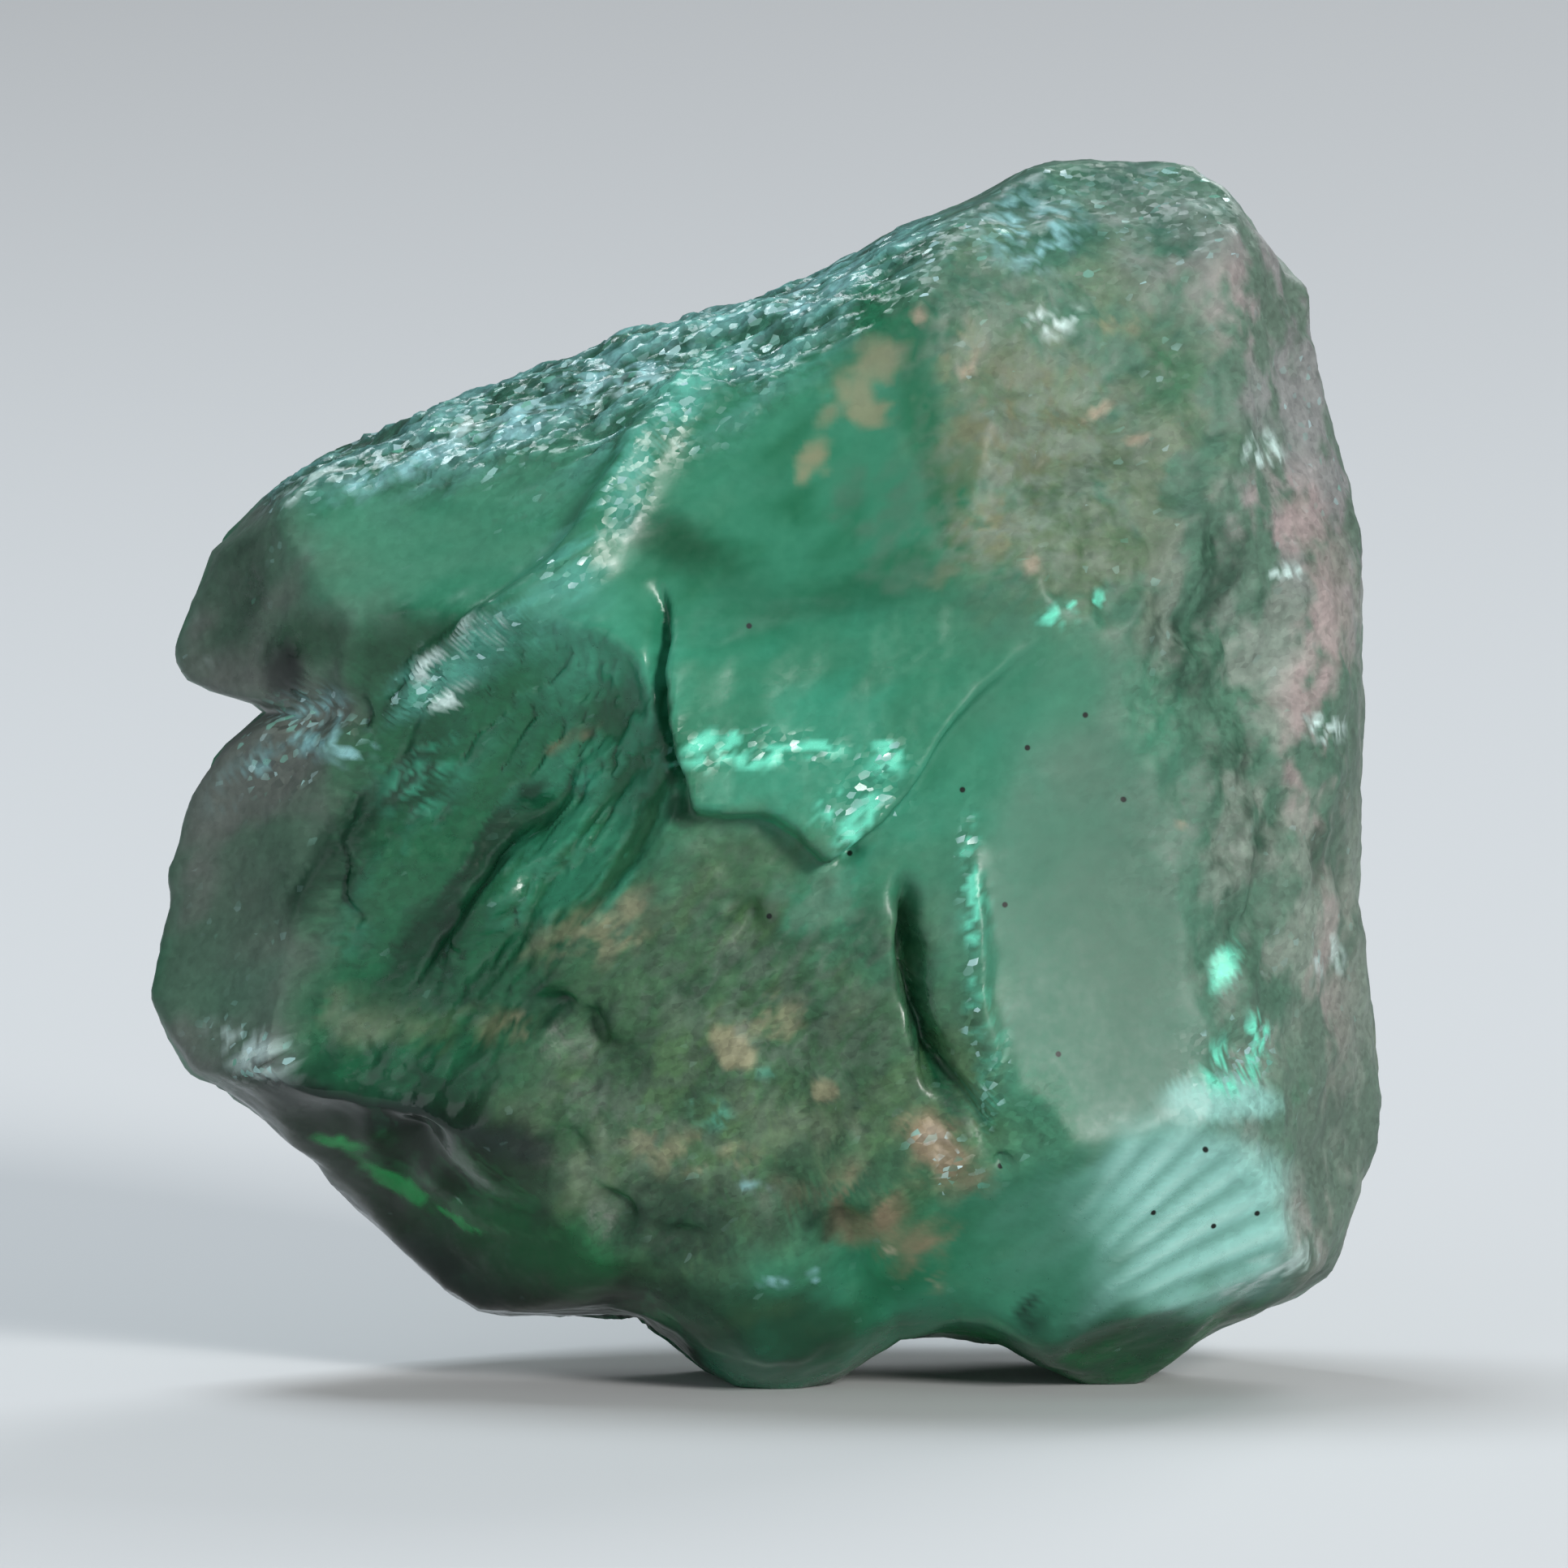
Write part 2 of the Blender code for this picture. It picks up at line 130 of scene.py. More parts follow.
# Breaks: a point on each, the way it faces, the radius of its bowl and how rough it is, in millimetres
BREAKS = {
    "slab": ((-5.3, 15.0, 3.3), (-0.26, 0.40, 0.88), 16.0, 0.04),
    "top_band": ((-3.8, 17.2, 2.5), (-0.28, 0.74, 0.61), 40.0, 0.18),
    "smooth_bowl": ((-0.6, 16.0, 4.1), (-0.05, 0.30, 0.95), 16.0, 0.03),
    "tongue_face": ((0.9, 12.3, 5.3), (0.00, -0.05, 1.00), 30.0, 0.05),
    "grainy_shoulder": ((5.1, 16.3, 4.5), (0.22, 0.38, 0.90), 60.0, 0.22),
    "top_cap": ((6.3, 20.7, 2.0), (0.10, 0.72, 0.69), 30.0, 0.15),
    "frosted_face": ((5.6, 8.6, 5.0), (0.20, -0.02, 0.98), 22.0, 0.02),
    "right_band": ((8.6, 10.3, 3.6), (0.62, 0.04, 0.78), 60.0, 0.22),
    "right_skin_high": ((9.3, 17.0, 1.9), (0.80, 0.25, 0.55), 60.0, 0.16),
    "right_skin_low": ((9.9, 7.5, 2.0), (0.88, -0.05, 0.47), 60.0, 0.16),
    "fan": ((7.2, 2.9, 3.9), (0.22, -0.48, 0.85), 20.0, 0.02),
    "fan_undercut": ((6.6, 0.9, 2.0), (0.15, -0.88, 0.45), 12.0, 0.08),
    "low_front": ((3.2, 2.6, 3.9), (0.02, -0.58, 0.81), 18.0, 0.06),
    "brown_face": ((-0.8, 6.6, 4.6), (-0.12, -0.22, 0.97), 40.0, 0.24),
    "left_valley": ((-5.4, 10.2, 3.3), (-0.28, 0.10, 0.95), 6.5, 0.16),
    "valley_foot": ((-5.9, 8.0, 3.1), (-0.30, -0.14, 0.94), 6.0, 0.16),
    "valley_side": ((-3.3, 10.6, 3.9), (-0.42, 0.02, 0.91), 4.5, 0.14),
    "left_cheek": ((-9.2, 9.4, 1.7), (-0.66, 0.08, 0.75), 30.0, 0.14),
    "low_left_lobe": ((-5.9, 3.9, 2.4), (-0.46, -0.66, 0.60), 14.0, 0.08),
    "back_prism_wide": ((3.0, 11.2, -5.0), (0.10, 0.12, -0.99), 400.0, 0.03),
    "back_prism_left": ((-5.6, 10.6, -3.6), (-0.66, 0.02, -0.75), 400.0, 0.04),
    "back_high_bowl": ((-2.8, 16.4, -3.4), (-0.30, 0.66, -0.69), 11.0, 0.10),
    "back_low_bowl": ((-1.2, 3.6, -3.6), (-0.16, -0.66, -0.73), 12.0, 0.12),
    "back_right": ((8.8, 9.4, -3.2), (0.78, -0.04, -0.62), 60.0, 0.12),
    "back_top": ((6.3, 19.6, -2.4), (0.18, 0.78, -0.60), 16.0, 0.12),
    "back_low_right": ((7.4, 3.4, -3.0), (0.48, -0.52, -0.71), 14.0, 0.12),
}

# The tongue: a ledge that stands proud of the front, hinged on its top edge and rising softly below it. Its
# outline, then where its top is, how far it stands out, how far down it rises and how wide its wall is
TONGUE = [
    (-1.80, 14.00), (-1.60, 12.20), (-1.30, 10.70), (-1.05, 10.35), (0.15, 10.05), (1.15, 9.50),
    (1.90, 10.05), (2.65, 10.95), (3.25, 11.80), (4.25, 12.80), (5.50, 13.80),
]
TONGUE_TOP = 14.2
TONGUE_HEIGHT = 0.80
TONGUE_HINGE = 2.3
TONGUE_WALL = 0.14

# Ridges and cracks drawn on the front: height, half width and the points each one runs through
RIDGES = {
    "sparkling_ridge": (0.50, 0.42, [(-0.75, 18.20), (-2.00, 16.80), (-2.85, 14.80), (-4.30, 13.65),
                                     (-5.75, 12.80), (-6.60, 11.65)]),
    "glinting_ridge": (0.20, 0.20, [(3.65, 9.70), (3.55, 8.95), (3.75, 6.95), (3.85, 5.65), (4.10, 5.00)]),
    "ochre_ridge": (0.40, 0.40, [(-8.15, 6.50), (-6.95, 6.80), (-6.00, 6.20), (-4.85, 6.05), (-4.00, 6.50)]),
    "lobe_brow": (0.25, 0.40, [(-8.60, 5.20), (-7.20, 5.75), (-5.60, 5.80), (-4.60, 5.30)]),
    "dark_crack": (-1.10, 0.17, [(2.40, 9.20), (2.55, 8.20), (2.70, 7.05), (3.10, 5.50), (3.55, 4.95),
                                 (4.00, 4.40)]),
    "tongue_crack": (-0.60, 0.12, [(-1.90, 14.20), (-1.75, 12.20), (-1.50, 10.90), (-1.30, 10.20)]),
    "notch_groove": (-0.60, 0.40, [(-8.90, 12.10), (-8.20, 11.95), (-7.00, 12.20)]),
    "lobe_trough": (-0.35, 0.45, [(-4.10, 5.00), (-3.30, 3.70), (-2.50, 2.20)]),
    "bump_trough": (-0.45, 0.50, [(1.90, 1.20), (1.60, 2.40), (0.90, 3.20)]),
    "valley_trough": (-0.50, 0.40, [(-3.10, 10.80), (-4.60, 9.90), (-5.70, 8.70), (-6.50, 7.20)]),
    "valley_side_trough": (-0.35, 0.30, [(-6.90, 11.00), (-7.80, 9.80), (-7.60, 8.60), (-7.00, 7.60)]),
    "valley_rib": (0.28, 0.28, [(-2.60, 10.20), (-4.20, 9.30), (-5.00, 8.10), (-5.30, 6.90)]),
}

# The share of a ridge or crack over which each end tapers, and how ragged it is: how far, how wide and which
# draws of the noise make it so
LINE_TAPER = 0.25
LINE_RAGGEDNESS = 0.13
LINE_RAGGED_SIZE = 0.6
LINE_DRAWS = (61, 62)

# Where the relief fades in at the stone's sides: the share of a way that points out in the middle of the fade,
# and half of the fade
RELIEF_FADE_MIDDLE = 0.18
RELIEF_FADE_HALF = 0.12

# Pits in the front: across, up, radius and depth
PITS = [
    (-0.30, 8.35, 0.34, 0.35), (-3.80, 6.60, 0.40, 0.45), (-3.05, 6.30, 0.34, 0.45),
    (-1.55, 2.55, 0.45, 0.40), (-2.65, 5.35, 0.60, 0.30), (1.50, 9.50, 0.16, 0.30),
    (4.15, 4.05, 0.16, 0.30), (-6.20, 4.50, 0.50, 0.35), (0.30, 3.55, 0.50, 0.30),
    (-2.70, 2.90, 0.45, 0.30), (0.95, 5.75, 0.45, -0.20), (-0.55, 6.10, 0.50, -0.22),
    (8.20, 7.40, 0.45, -0.30), (8.10, 5.80, 0.50, 0.30), (8.40, 12.40, 0.60, 0.25),
    (7.60, 13.60, 0.70, 0.30),
]

# Layers of flat-sided noise that are added up: strength, size in mm and a number that picks the random draw
BREAK_NOISE = [(1.0, 1.3, 1), (0.5, 0.6, 40)]
BORDER_NOISE = [(1.0, 0.9, 200), (0.5, 0.4, 230)]
CLOUD_NOISE = [(1.0, 1.7, 71), (0.6, 0.7, 72), (0.4, 0.3, 73)]
PATCH_EDGE_NOISE = [(0.7, 0.55, 74), (0.5, 0.22, 75)]
GRAIN_NOISE = [(0.55, 0.50, 81), (0.30, 0.24, 82), (0.15, 0.13, 83)]

# Colours as the eye sees them, red, green and blue from 0 to 255
PALETTE = {
    "sea_green": (52, 134, 104),
    "pale_green": (72, 142, 114),
    "deep_green": (24, 108, 74),
    "blob_green": (16, 80, 52),
    "bright_teal": (58, 152, 123),
    "light_teal": (88, 188, 158),
    "frost_green": (68, 124, 102),
    "frost_light": (86, 134, 115),
    # The fan: its pale colour with a painted reflection, and the painted highlight and shade on its ribs
    "fan_pale": (158, 220, 210),
    "fan_rib_highlight": (190, 238, 228),
    "fan_rib_shade": (84, 142, 126),
    "brown_green": (64, 104, 72),
    "moss": (80, 116, 78),
    "ochre": (106, 126, 100),
    "beige": (152, 148, 118),
    "salmon": (146, 128, 104),
    "grey_green": (76, 120, 99),
    "skin": (97, 120, 106),
    "skin_light": (126, 142, 130),
    "pink": (172, 154, 154),
    "pink_grey": (140, 142, 142),
    "valley_green": (30, 100, 67),
    "dark_green": (20, 78, 52),
    "shade_green": (10, 56, 36),
    "bottle_green": (6, 38, 19),
    # Green of a painted glow, as of light that passes through the stone
    "glow_green": (24, 104, 60),
    "olive": (33, 78, 54),
    "blackish": (8, 19, 18),
    "dusk_grey": (20, 38, 33),
    "cheek_grey": (76, 108, 90),
    "cheek_pink": (104, 112, 106),
    "ridge_teal": (92, 176, 158),
    "band_green": (48, 98, 80),
    "band_ice": (106, 164, 160),
    # Colours of the painted glints, highlights and green reflections
    "ice_blue": (146, 202, 206),
    "white": (215, 242, 238),
    "mint": (120, 240, 208),
    "leaf": (24, 190, 96),
    "blush": (178, 162, 142),
}

# Patterns that break a colour up: the width of the largest spots in mm, how many times longer they run, the
# way they run, and the share that they cover
PATTERNS = {
    "clouds": (2.2, 1.3, (0.9, 0.4, 0.0), 0.45),
    "blotches": (1.0, 1.3, (0.6, 0.8, 0.0), 0.50),
    "spots": (0.45, 1.0, (1.0, 0.0, 0.0), 0.42),
    "fibres": (0.36, 5.0, (0.56, 0.83, 0.0), 0.50),
    "streaks": (0.26, 3.5, (0.90, 0.42, 0.0), 0.40),
    "grit": (0.22, 1.3, (0.7, 0.7, 0.0), 0.45),
    "growth": (0.50, 9.0, (0.1, 1.0, 0.1), 0.50),
}

# The layers of each pattern: strength, share of its size and draw, then how soft its spots' edges are, the
# number of the first pattern's draw and the step to the next one's
PATTERN_LAYERS = [(1.0, 1.0, 0), (0.6, 0.45, 1), (0.4, 0.2, 2)]
PATTERN_EDGE = 0.4
PATTERN_DRAW = 100
PATTERN_DRAW_STEP = 10

# How each break is finished: its colour, a second colour and the pattern it comes in, how strongly the break
# sparkles, how rough its shine is and its fine grain in mm
FINISHES = {
    "slab": ("sea_green", "pale_green", "clouds", 0.04, 0.36, 0.02),
    # The top band's ice-pale streaks are painted glints
    "top_band": ("band_green", "band_ice", "streaks", 1.00, 0.25, 0.16),
    "smooth_bowl": ("deep_green", "sea_green", "clouds", 0.0, 0.36, 0.005),
    "tongue_face": ("bright_teal", "sea_green", "clouds", 0.06, 0.36, 0.02),
    "grainy_shoulder": ("grey_green", "ochre", "blotches", 0.20, 0.58, 0.07),
    "top_cap": ("band_green", "grey_green", "blotches", 0.45, 0.38, 0.08),
    "frosted_face": ("frost_green", "frost_light", "clouds", 0.0, 0.50, 0.008),
    "right_band": ("grey_green", "skin_light", "blotches", 0.16, 0.55, 0.09),
    "right_skin_high": ("skin", "pink_grey", "blotches", 0.22, 0.55, 0.09),
    "right_skin_low": ("skin", "skin_light", "blotches", 0.18, 0.55, 0.09),
    # The fan's pale colour carries a painted reflection
    "fan": ("fan_pale", "frost_light", "clouds", 0.10, 0.28, 0.01),
    # The undercut's second colour is a painted green glow
    "fan_undercut": ("dark_green", "glow_green", "blotches", 0.15, 0.30, 0.04),
    "low_front": ("sea_green", "deep_green", "clouds", 0.08, 0.32, 0.02),
    "brown_face": ("brown_green", "moss", "blotches", 0.12, 0.55, 0.12),
    "left_valley": ("valley_green", "dark_green", "fibres", 0.14, 0.30, 0.07),
    "valley_foot": ("valley_green", "dark_green", "fibres", 0.12, 0.30, 0.07),
    "valley_side": ("valley_green", "sea_green", "fibres", 0.10, 0.30, 0.05),
    "left_cheek": ("cheek_grey", "cheek_pink", "clouds", 0.12, 0.42, 0.06),
    # The dark lobe: its own dark bottle green, darkened further as painted shade where it faces down
    "low_left_lobe": ("bottle_green", "dusk_grey", "clouds", 0.06, 0.16, 0.02),
    "back_prism_wide": ("sea_green", "frost_green", "growth", 0.06, 0.34, 0.02),
    "back_prism_left": ("sea_green", "deep_green", "growth", 0.06, 0.32, 0.02),
    "back_high_bowl": ("deep_green", "sea_green", "clouds", 0.12, 0.30, 0.03),
    "back_low_bowl": ("valley_green", "deep_green", "fibres", 0.12, 0.30, 0.05),
    "back_right": ("skin", "ochre", "blotches", 0.22, 0.55, 0.09),
    "back_top": ("band_green", "grey_green", "spots", 0.45, 0.38, 0.08),
    "back_low_right": ("sea_green", "brown_green", "blotches", 0.15, 0.32, 0.05),
}

# Over how many mm two breaks' colours blend into each other, and how frayed the border between them is in mm
COLOUR_BLEND = 0.30
BORDER_FRAY = 0.30

# Painted patches in order: colour, strength, softness of the edge, raggedness of the edge in mm, the pattern
# that breaks the patch up or None, and the ellipses, each across, up, half length, half width and turn
PATCHES = [
    # Slab
    ("pale_green", 0.55, 0.70, 0.40, None, [(-4.6, 15.6, 1.6, 0.7, 30), (-6.6, 15.0, 0.9, 0.6, 20)]),
    # Painted shadow in olive under the sparkling ridge and along the slab's lower edge
    ("olive", 0.85, 0.40, 0.30, None, [(-6.4, 12.95, 1.3, 0.60, 5), (-7.8, 13.2, 0.8, 0.50, 20)]),
    ("grey_green", 0.60, 0.60, 0.30, "blotches", [(-7.7, 14.7, 0.8, 0.6, 0), (-7.0, 13.7, 0.7, 0.35, 0)]),
    # Sparkling ridge: its pale teal, lightened as a painted highlight where its wall faces the light
    ("ridge_teal", 0.75, 0.60, 0.20, None, [(-1.3, 17.6, 0.30, 1.0, -35), (-2.3, 16.0, 0.28, 1.1, -20)]),
    ("ridge_teal", 0.85, 0.60, 0.25, "streaks", [(-3.2, 14.5, 0.45, 1.1, -40), (-4.6, 13.3, 1.2, 0.45, 35),
                                                 (-6.0, 12.4, 0.9, 0.42, 40), (-2.0, 16.6, 0.5, 1.3, -30)]),
    ("light_teal", 0.40, 0.80, 0.20, None, [(-2.9, 13.2, 1.0, 0.7, 30), (-1.9, 12.6, 0.5, 0.7, 0)]),
    ("ridge_teal", 0.55, 0.70, 0.20, None, [(-5.1, 12.9, 1.3, 0.40, 38), (-3.6, 13.9, 0.7, 0.5, 30)]),
    # Smooth bowl
    ("blob_green", 0.80, 0.75, 0.16, None, [(-1.55, 14.95, 0.80, 0.42, -22)]),
    ("blob_green", 0.40, 0.80, 0.20, None, [(-0.5, 14.2, 0.9, 0.4, -30), (1.6, 13.9, 1.8, 0.35, 0)]),
    ("deep_green", 0.90, 0.50, 0.22, None, [(2.75, 17.1, 0.36, 1.2, 10), (3.25, 15.5, 0.40, 1.0, 15),
                                            (2.2, 18.9, 0.6, 0.6, 0), (3.0, 14.3, 0.7, 0.3, 0)]),
    ("grey_green", 0.70, 0.50, 0.40, "blotches", [(2.0, 15.7, 0.8, 0.8, 20), (2.9, 14.3, 0.8, 0.35, -10),
                                                  (1.9, 19.0, 1.0, 0.6, 30), (4.0, 19.3, 1.4, 0.7, 10)]),
    # Grainy shoulder, and the beige inclusions beside it
    ("ochre", 0.90, 0.50, 0.45, "blotches", [(4.7, 16.6, 1.4, 1.3, 0), (5.1, 15.0, 1.5, 0.9, 0),
                                             (5.9, 16.0, 0.9, 1.2, 0), (6.9, 17.6, 0.9, 0.9, 30)]),
    ("ochre", 0.85, 0.45, 0.35, None, [(4.5, 16.7, 1.0, 0.9, 0), (5.0, 15.0, 1.3, 0.7, -10),
                                       (3.3, 14.4, 0.5, 0.28, 20)]),
    ("moss", 0.60, 0.50, 0.30, "spots", [(4.9, 15.9, 1.6, 1.9, 0), (6.2, 15.2, 0.8, 1.0, 0)]),
    ("beige", 0.75, 0.80, 0.32, None, [(1.45, 17.50, 0.50, 0.30, -35), (1.15, 17.25, 0.25, 0.30, 0),
                                       (2.05, 18.15, 0.26, 0.30, -20), (1.80, 17.2, 0.35, 0.2, 0)]),
    ("beige", 0.85, 0.70, 0.24, None, [(0.92, 16.45, 0.22, 0.36, -20)]),
    ("beige", 0.70, 0.60, 0.30, "spots", [(4.5, 17.0, 1.3, 0.9, 0), (5.6, 17.5, 0.6, 0.4, -20),
                                          (3.4, 18.2, 0.30, 0.7, -25), (6.2, 18.9, 0.4, 0.25, 0),
                                          (4.1, 15.2, 0.7, 0.6, 0)]),
    ("skin_light", 0.55, 0.60, 0.30, "grit", [(4.9, 16.6, 1.9, 1.7, 0), (4.6, 15.0, 1.7, 0.8, 0),
                                              (4.2, 18.8, 1.6, 0.9, 20)]),
    ("shade_green", 0.35, 0.60, 0.30, "spots", [(5.3, 16.4, 1.7, 1.9, 0), (6.8, 17.2, 1.0, 1.5, 0)]),
    ("blush", 0.85, 0.60, 0.12, None, [(4.70, 14.54, 0.17, 0.19, 0), (6.48, 16.72, 0.18, 0.10, 0),
                                       (3.55, 17.9, 0.10, 0.30, -30), (5.9, 17.2, 0.22, 0.08, 30),
                                       (2.70, 18.90, 0.12, 0.10, 0), (7.25, 10.0, 0.13, 0.10, 0)]),
    # Skin down the right side
    ("pink_grey", 0.80, 0.60, 0.40, "blotches", [(7.9, 20.0, 1.5, 1.3, -40), (8.9, 18.3, 0.7, 1.6, -20),
                                                 (7.0, 20.9, 0.9, 0.5, 0), (8.9, 15.8, 0.8, 0.7, 20)]),
    ("pink", 0.90, 0.45, 0.30, None, [(10.1, 13.9, 0.42, 1.30, 0), (9.5, 15.4, 0.40, 0.50, 20)]),
    ("pink", 0.80, 0.50, 0.30, "blotches", [(9.7, 11.8, 0.55, 1.60, 0), (9.2, 15.6, 0.85, 0.70, 20),
                                            (8.6, 19.3, 0.7, 1.1, -25), (9.9, 3.0, 0.7, 1.0, 0),
                                            (10.1, 6.8, 0.40, 2.0, 0)]),
    ("shade_green", 0.65, 0.60, 0.35, "fibres", [(7.8, 14.3, 0.8, 1.1, 30), (7.2, 13.0, 0.7, 0.8, 0),
                                                 (8.4, 10.7, 0.5, 1.5, 10), (8.0, 8.9, 0.4, 0.9, 20),
                                                 (9.6, 9.6, 0.4, 0.6, 0)]),
    ("deep_green", 0.60, 0.60, 0.35, "blotches", [(7.1, 18.0, 1.2, 0.8, 0), (8.3, 16.6, 0.8, 0.6, 0),
                                                  (9.5, 5.0, 0.8, 1.0, 0), (7.2, 11.3, 0.5, 1.2, 20)]),
    # Frosted face, the glinting ridge with a painted highlight, and painted shade in the dark cracks beside it
    ("frost_green", 0.85, 0.60, 0.25, None, [(5.7, 8.5, 1.7, 2.6, 0), (5.4, 6.0, 1.3, 1.1, 0)]),
    ("skin", 0.35, 0.80, 0.20, None, [(6.3, 8.0, 1.0, 2.0, 0), (5.2, 11.0, 0.9, 0.7, 0)]),
    ("sea_green", 0.60, 0.60, 0.25, None, [(3.4, 11.3, 0.9, 1.0, 0), (4.9, 12.4, 1.2, 0.8, 30),
                                           (4.8, 4.6, 0.8, 1.2, 0), (6.6, 12.0, 0.5, 1.0, 20)]),
    # Pale teal lightened as a painted highlight along the glinting ridge
    ("light_teal", 0.60, 0.70, 0.16, "grit", [(3.65, 8.6, 0.22, 1.3, 3), (3.9, 5.6, 0.26, 0.9, -12),
                                              (3.7, 7.0, 0.16, 1.0, 0)]),
    # Painted shade down the dark crack and, on the second row, down the crack at the tongue's left side
    ("dark_green", 0.80, 0.50, 0.10, None, [(2.60, 7.6, 0.26, 1.3, 4), (3.15, 5.5, 0.24, 0.9, 22)]),
    ("dark_green", 0.90, 0.40, 0.05, None, [(2.62, 7.2, 0.13, 1.1, 4), (3.10, 5.5, 0.12, 0.8, 22),
                                            (-1.72, 11.7, 0.12, 1.3, 6), (-1.42, 10.2, 0.25, 0.35, 30)]),
    # Brown face and its inclusions
    ("sea_green", 0.45, 0.60, 0.30, "blotches", [(0.3, 9.1, 1.6, 0.6, 0), (1.9, 7.9, 0.4, 1.2, 25)]),
    ("brown_green", 0.85, 0.60, 0.40, None, [(-0.4, 9.3, 1.0, 0.8, 0), (-2.2, 7.2, 1.1, 0.6, 0)]),
    ("olive", 0.75, 0.55, 0.40, "blotches", [(-3.4, 6.9, 1.4, 1.0, 0), (-0.6, 7.6, 1.8, 0.8, 0),
                                             (1.9, 8.1, 0.4, 1.2, 35), (-3.0, 4.6, 1.6, 0.7, 0)]),
    ("shade_green", 0.85, 0.45, 0.30, "spots", [(-3.3, 6.5, 1.0, 0.6, -15), (-0.3, 8.3, 0.6, 0.4, 0),
                                                (-2.7, 5.3, 1.1, 0.40, 0), (-1.6, 2.9, 1.0, 0.6, 0),
                                                (1.8, 5.3, 0.5, 0.6, 0), (0.3, 3.6, 0.9, 0.6, 0)]),
    ("moss", 0.80, 0.55, 0.45, "blotches", [(-0.9, 8.3, 1.2, 0.6, 10), (0.6, 6.4, 1.3, 0.9, 0),
                                            (-0.6, 5.0, 1.6, 0.8, -20), (-5.0, 6.4, 1.4, 0.35, 0)]),
    ("ochre", 0.80, 0.55, 0.40, "blotches", [(-3.0, 8.2, 1.0, 0.5, 15), (-6.9, 6.5, 1.0, 0.45, -10),
                                             (-2.9, 3.9, 1.6, 0.6, -25), (0.5, 4.7, 1.4, 0.5, -30),
                                             (0.9, 6.3, 0.8, 0.5, 0)]),
    ("shade_green", 0.40, 0.70, 0.30, "grit", [(-0.8, 6.2, 3.2, 2.8, 0), (0.3, 3.6, 2.2, 1.4, 0)]),
    ("skin_light", 0.30, 0.70, 0.30, "grit", [(0.2, 7.0, 2.4, 2.4, 0), (-2.0, 4.4, 2.2, 1.2, -20)]),
    ("beige", 0.85, 0.35, 0.18, None, [(-0.50, 6.05, 0.38, 0.26, -40), (1.05, 5.40, 0.26, 0.18, -30)]),
    ("beige", 0.60, 0.50, 0.25, "spots", [(-4.6, 6.4, 0.6, 0.25, 20), (-3.0, 8.1, 1.1, 0.5, 15),
                                          (-1.0, 4.1, 1.5, 0.5, -20), (0.2, 6.6, 0.6, 0.3, 0)]),
    ("salmon", 0.90, 0.50, 0.30, "blotches", [(3.1, 4.25, 0.90, 0.55, -40), (3.0, 2.6, 1.0, 0.45, 0),
                                              (1.6, 3.4, 0.8, 0.5, -30)]),
    ("salmon", 0.90, 0.45, 0.20, None, [(3.2, 4.2, 0.62, 0.30, -40), (-3.45, 11.45, 0.45, 0.11, 25)]),
    ("blush", 0.95, 0.40, 0.06, "grit", [(3.10, 4.40, 0.50, 0.22, -45), (2.92, 2.12, 0.22, 0.14, -30),
                                         (2.2, 2.55, 0.12, 0.10, 0)]),
    # Painted teal glints on the brown face
    ("light_teal", 0.55, 0.50, 0.15, "grit", [(-0.95, 5.0, 0.40, 0.30, 0), (0.1, 5.6, 0.25, 0.15, 0)]),
    # Left valley
    ("shade_green", 0.90, 0.55, 0.30, "fibres", [(-5.6, 8.5, 1.5, 0.50, 55), (-4.6, 10.0, 1.3, 0.30, 45),
                                                 (-7.6, 9.2, 1.3, 0.55, 65), (-6.6, 10.4, 0.9, 0.5, 40)]),
    ("shade_green", 0.70, 0.60, 0.25, None, [(-6.0, 7.9, 1.3, 0.40, 50), (-4.6, 9.6, 1.1, 0.28, 42)]),
    ("sea_green", 0.80, 0.60, 0.25, "fibres", [(-3.6, 9.3, 1.5, 0.55, 50), (-6.6, 8.8, 1.3, 0.40, 55),
                                               (-2.9, 11.2, 0.8, 0.6, 0), (-2.5, 9.0, 0.5, 0.8, 0)]),
    ("pale_green", 0.50, 0.80, 0.30, None, [(4.6, 2.9, 1.2, 1.1, 0)]),
    ("bright_teal", 0.85, 0.55, 0.20, "grit", [(-6.0, 10.7, 0.75, 0.50, 20), (-5.6, 11.3, 0.4, 0.25, 20),
                                               (-3.2, 10.6, 0.5, 0.3, 30)]),
    ("olive", 0.60, 0.60, 0.30, "blotches", [(-3.0, 11.9, 0.9, 0.4, 20), (-6.2, 6.9, 0.9, 0.4, 0)]),
    # Left cheek
    ("cheek_pink", 0.55, 0.70, 0.30, None, [(-9.6, 9.1, 0.7, 1.2, 0), (-8.9, 7.6, 1.0, 0.7, 0)]),
    ("pink_grey", 0.50, 0.60, 0.20, None, [(-10.2, 9.3, 0.25, 1.0, 0)]),
    ("sea_green", 0.30, 0.70, 0.30, None, [(-9.4, 7.2, 0.9, 0.6, 0)]),
    # Dark lobe: a painted green glow, and its dark glass darkened further as painted shade where it faces down
    ("glow_green", 0.85, 0.60, 0.25, None, [(-4.4, 2.6, 1.5, 0.7, -20), (-3.2, 2.4, 0.7, 0.7, 0)]),
    ("glow_green", 0.70, 0.60, 0.25, "streaks", [(-6.3, 3.7, 1.2, 0.5, -40), (-4.6, 4.4, 0.9, 0.4, -20)]),
    ("bottle_green", 0.90, 0.50, 0.20, None, [(-4.8, 4.5, 1.4, 0.6, -30), (-7.4, 4.8, 0.9, 0.35, -30)]),
    ("dusk_grey", 0.90, 0.50, 0.20, None, [(-6.6, 4.95, 1.6, 0.30, -12), (-4.8, 4.5, 0.8, 0.3, -10),
                                           (-8.4, 5.3, 0.7, 0.25, -30)]),
    # Black nose: near-black glass, darkened further as painted shade where it faces away from the light
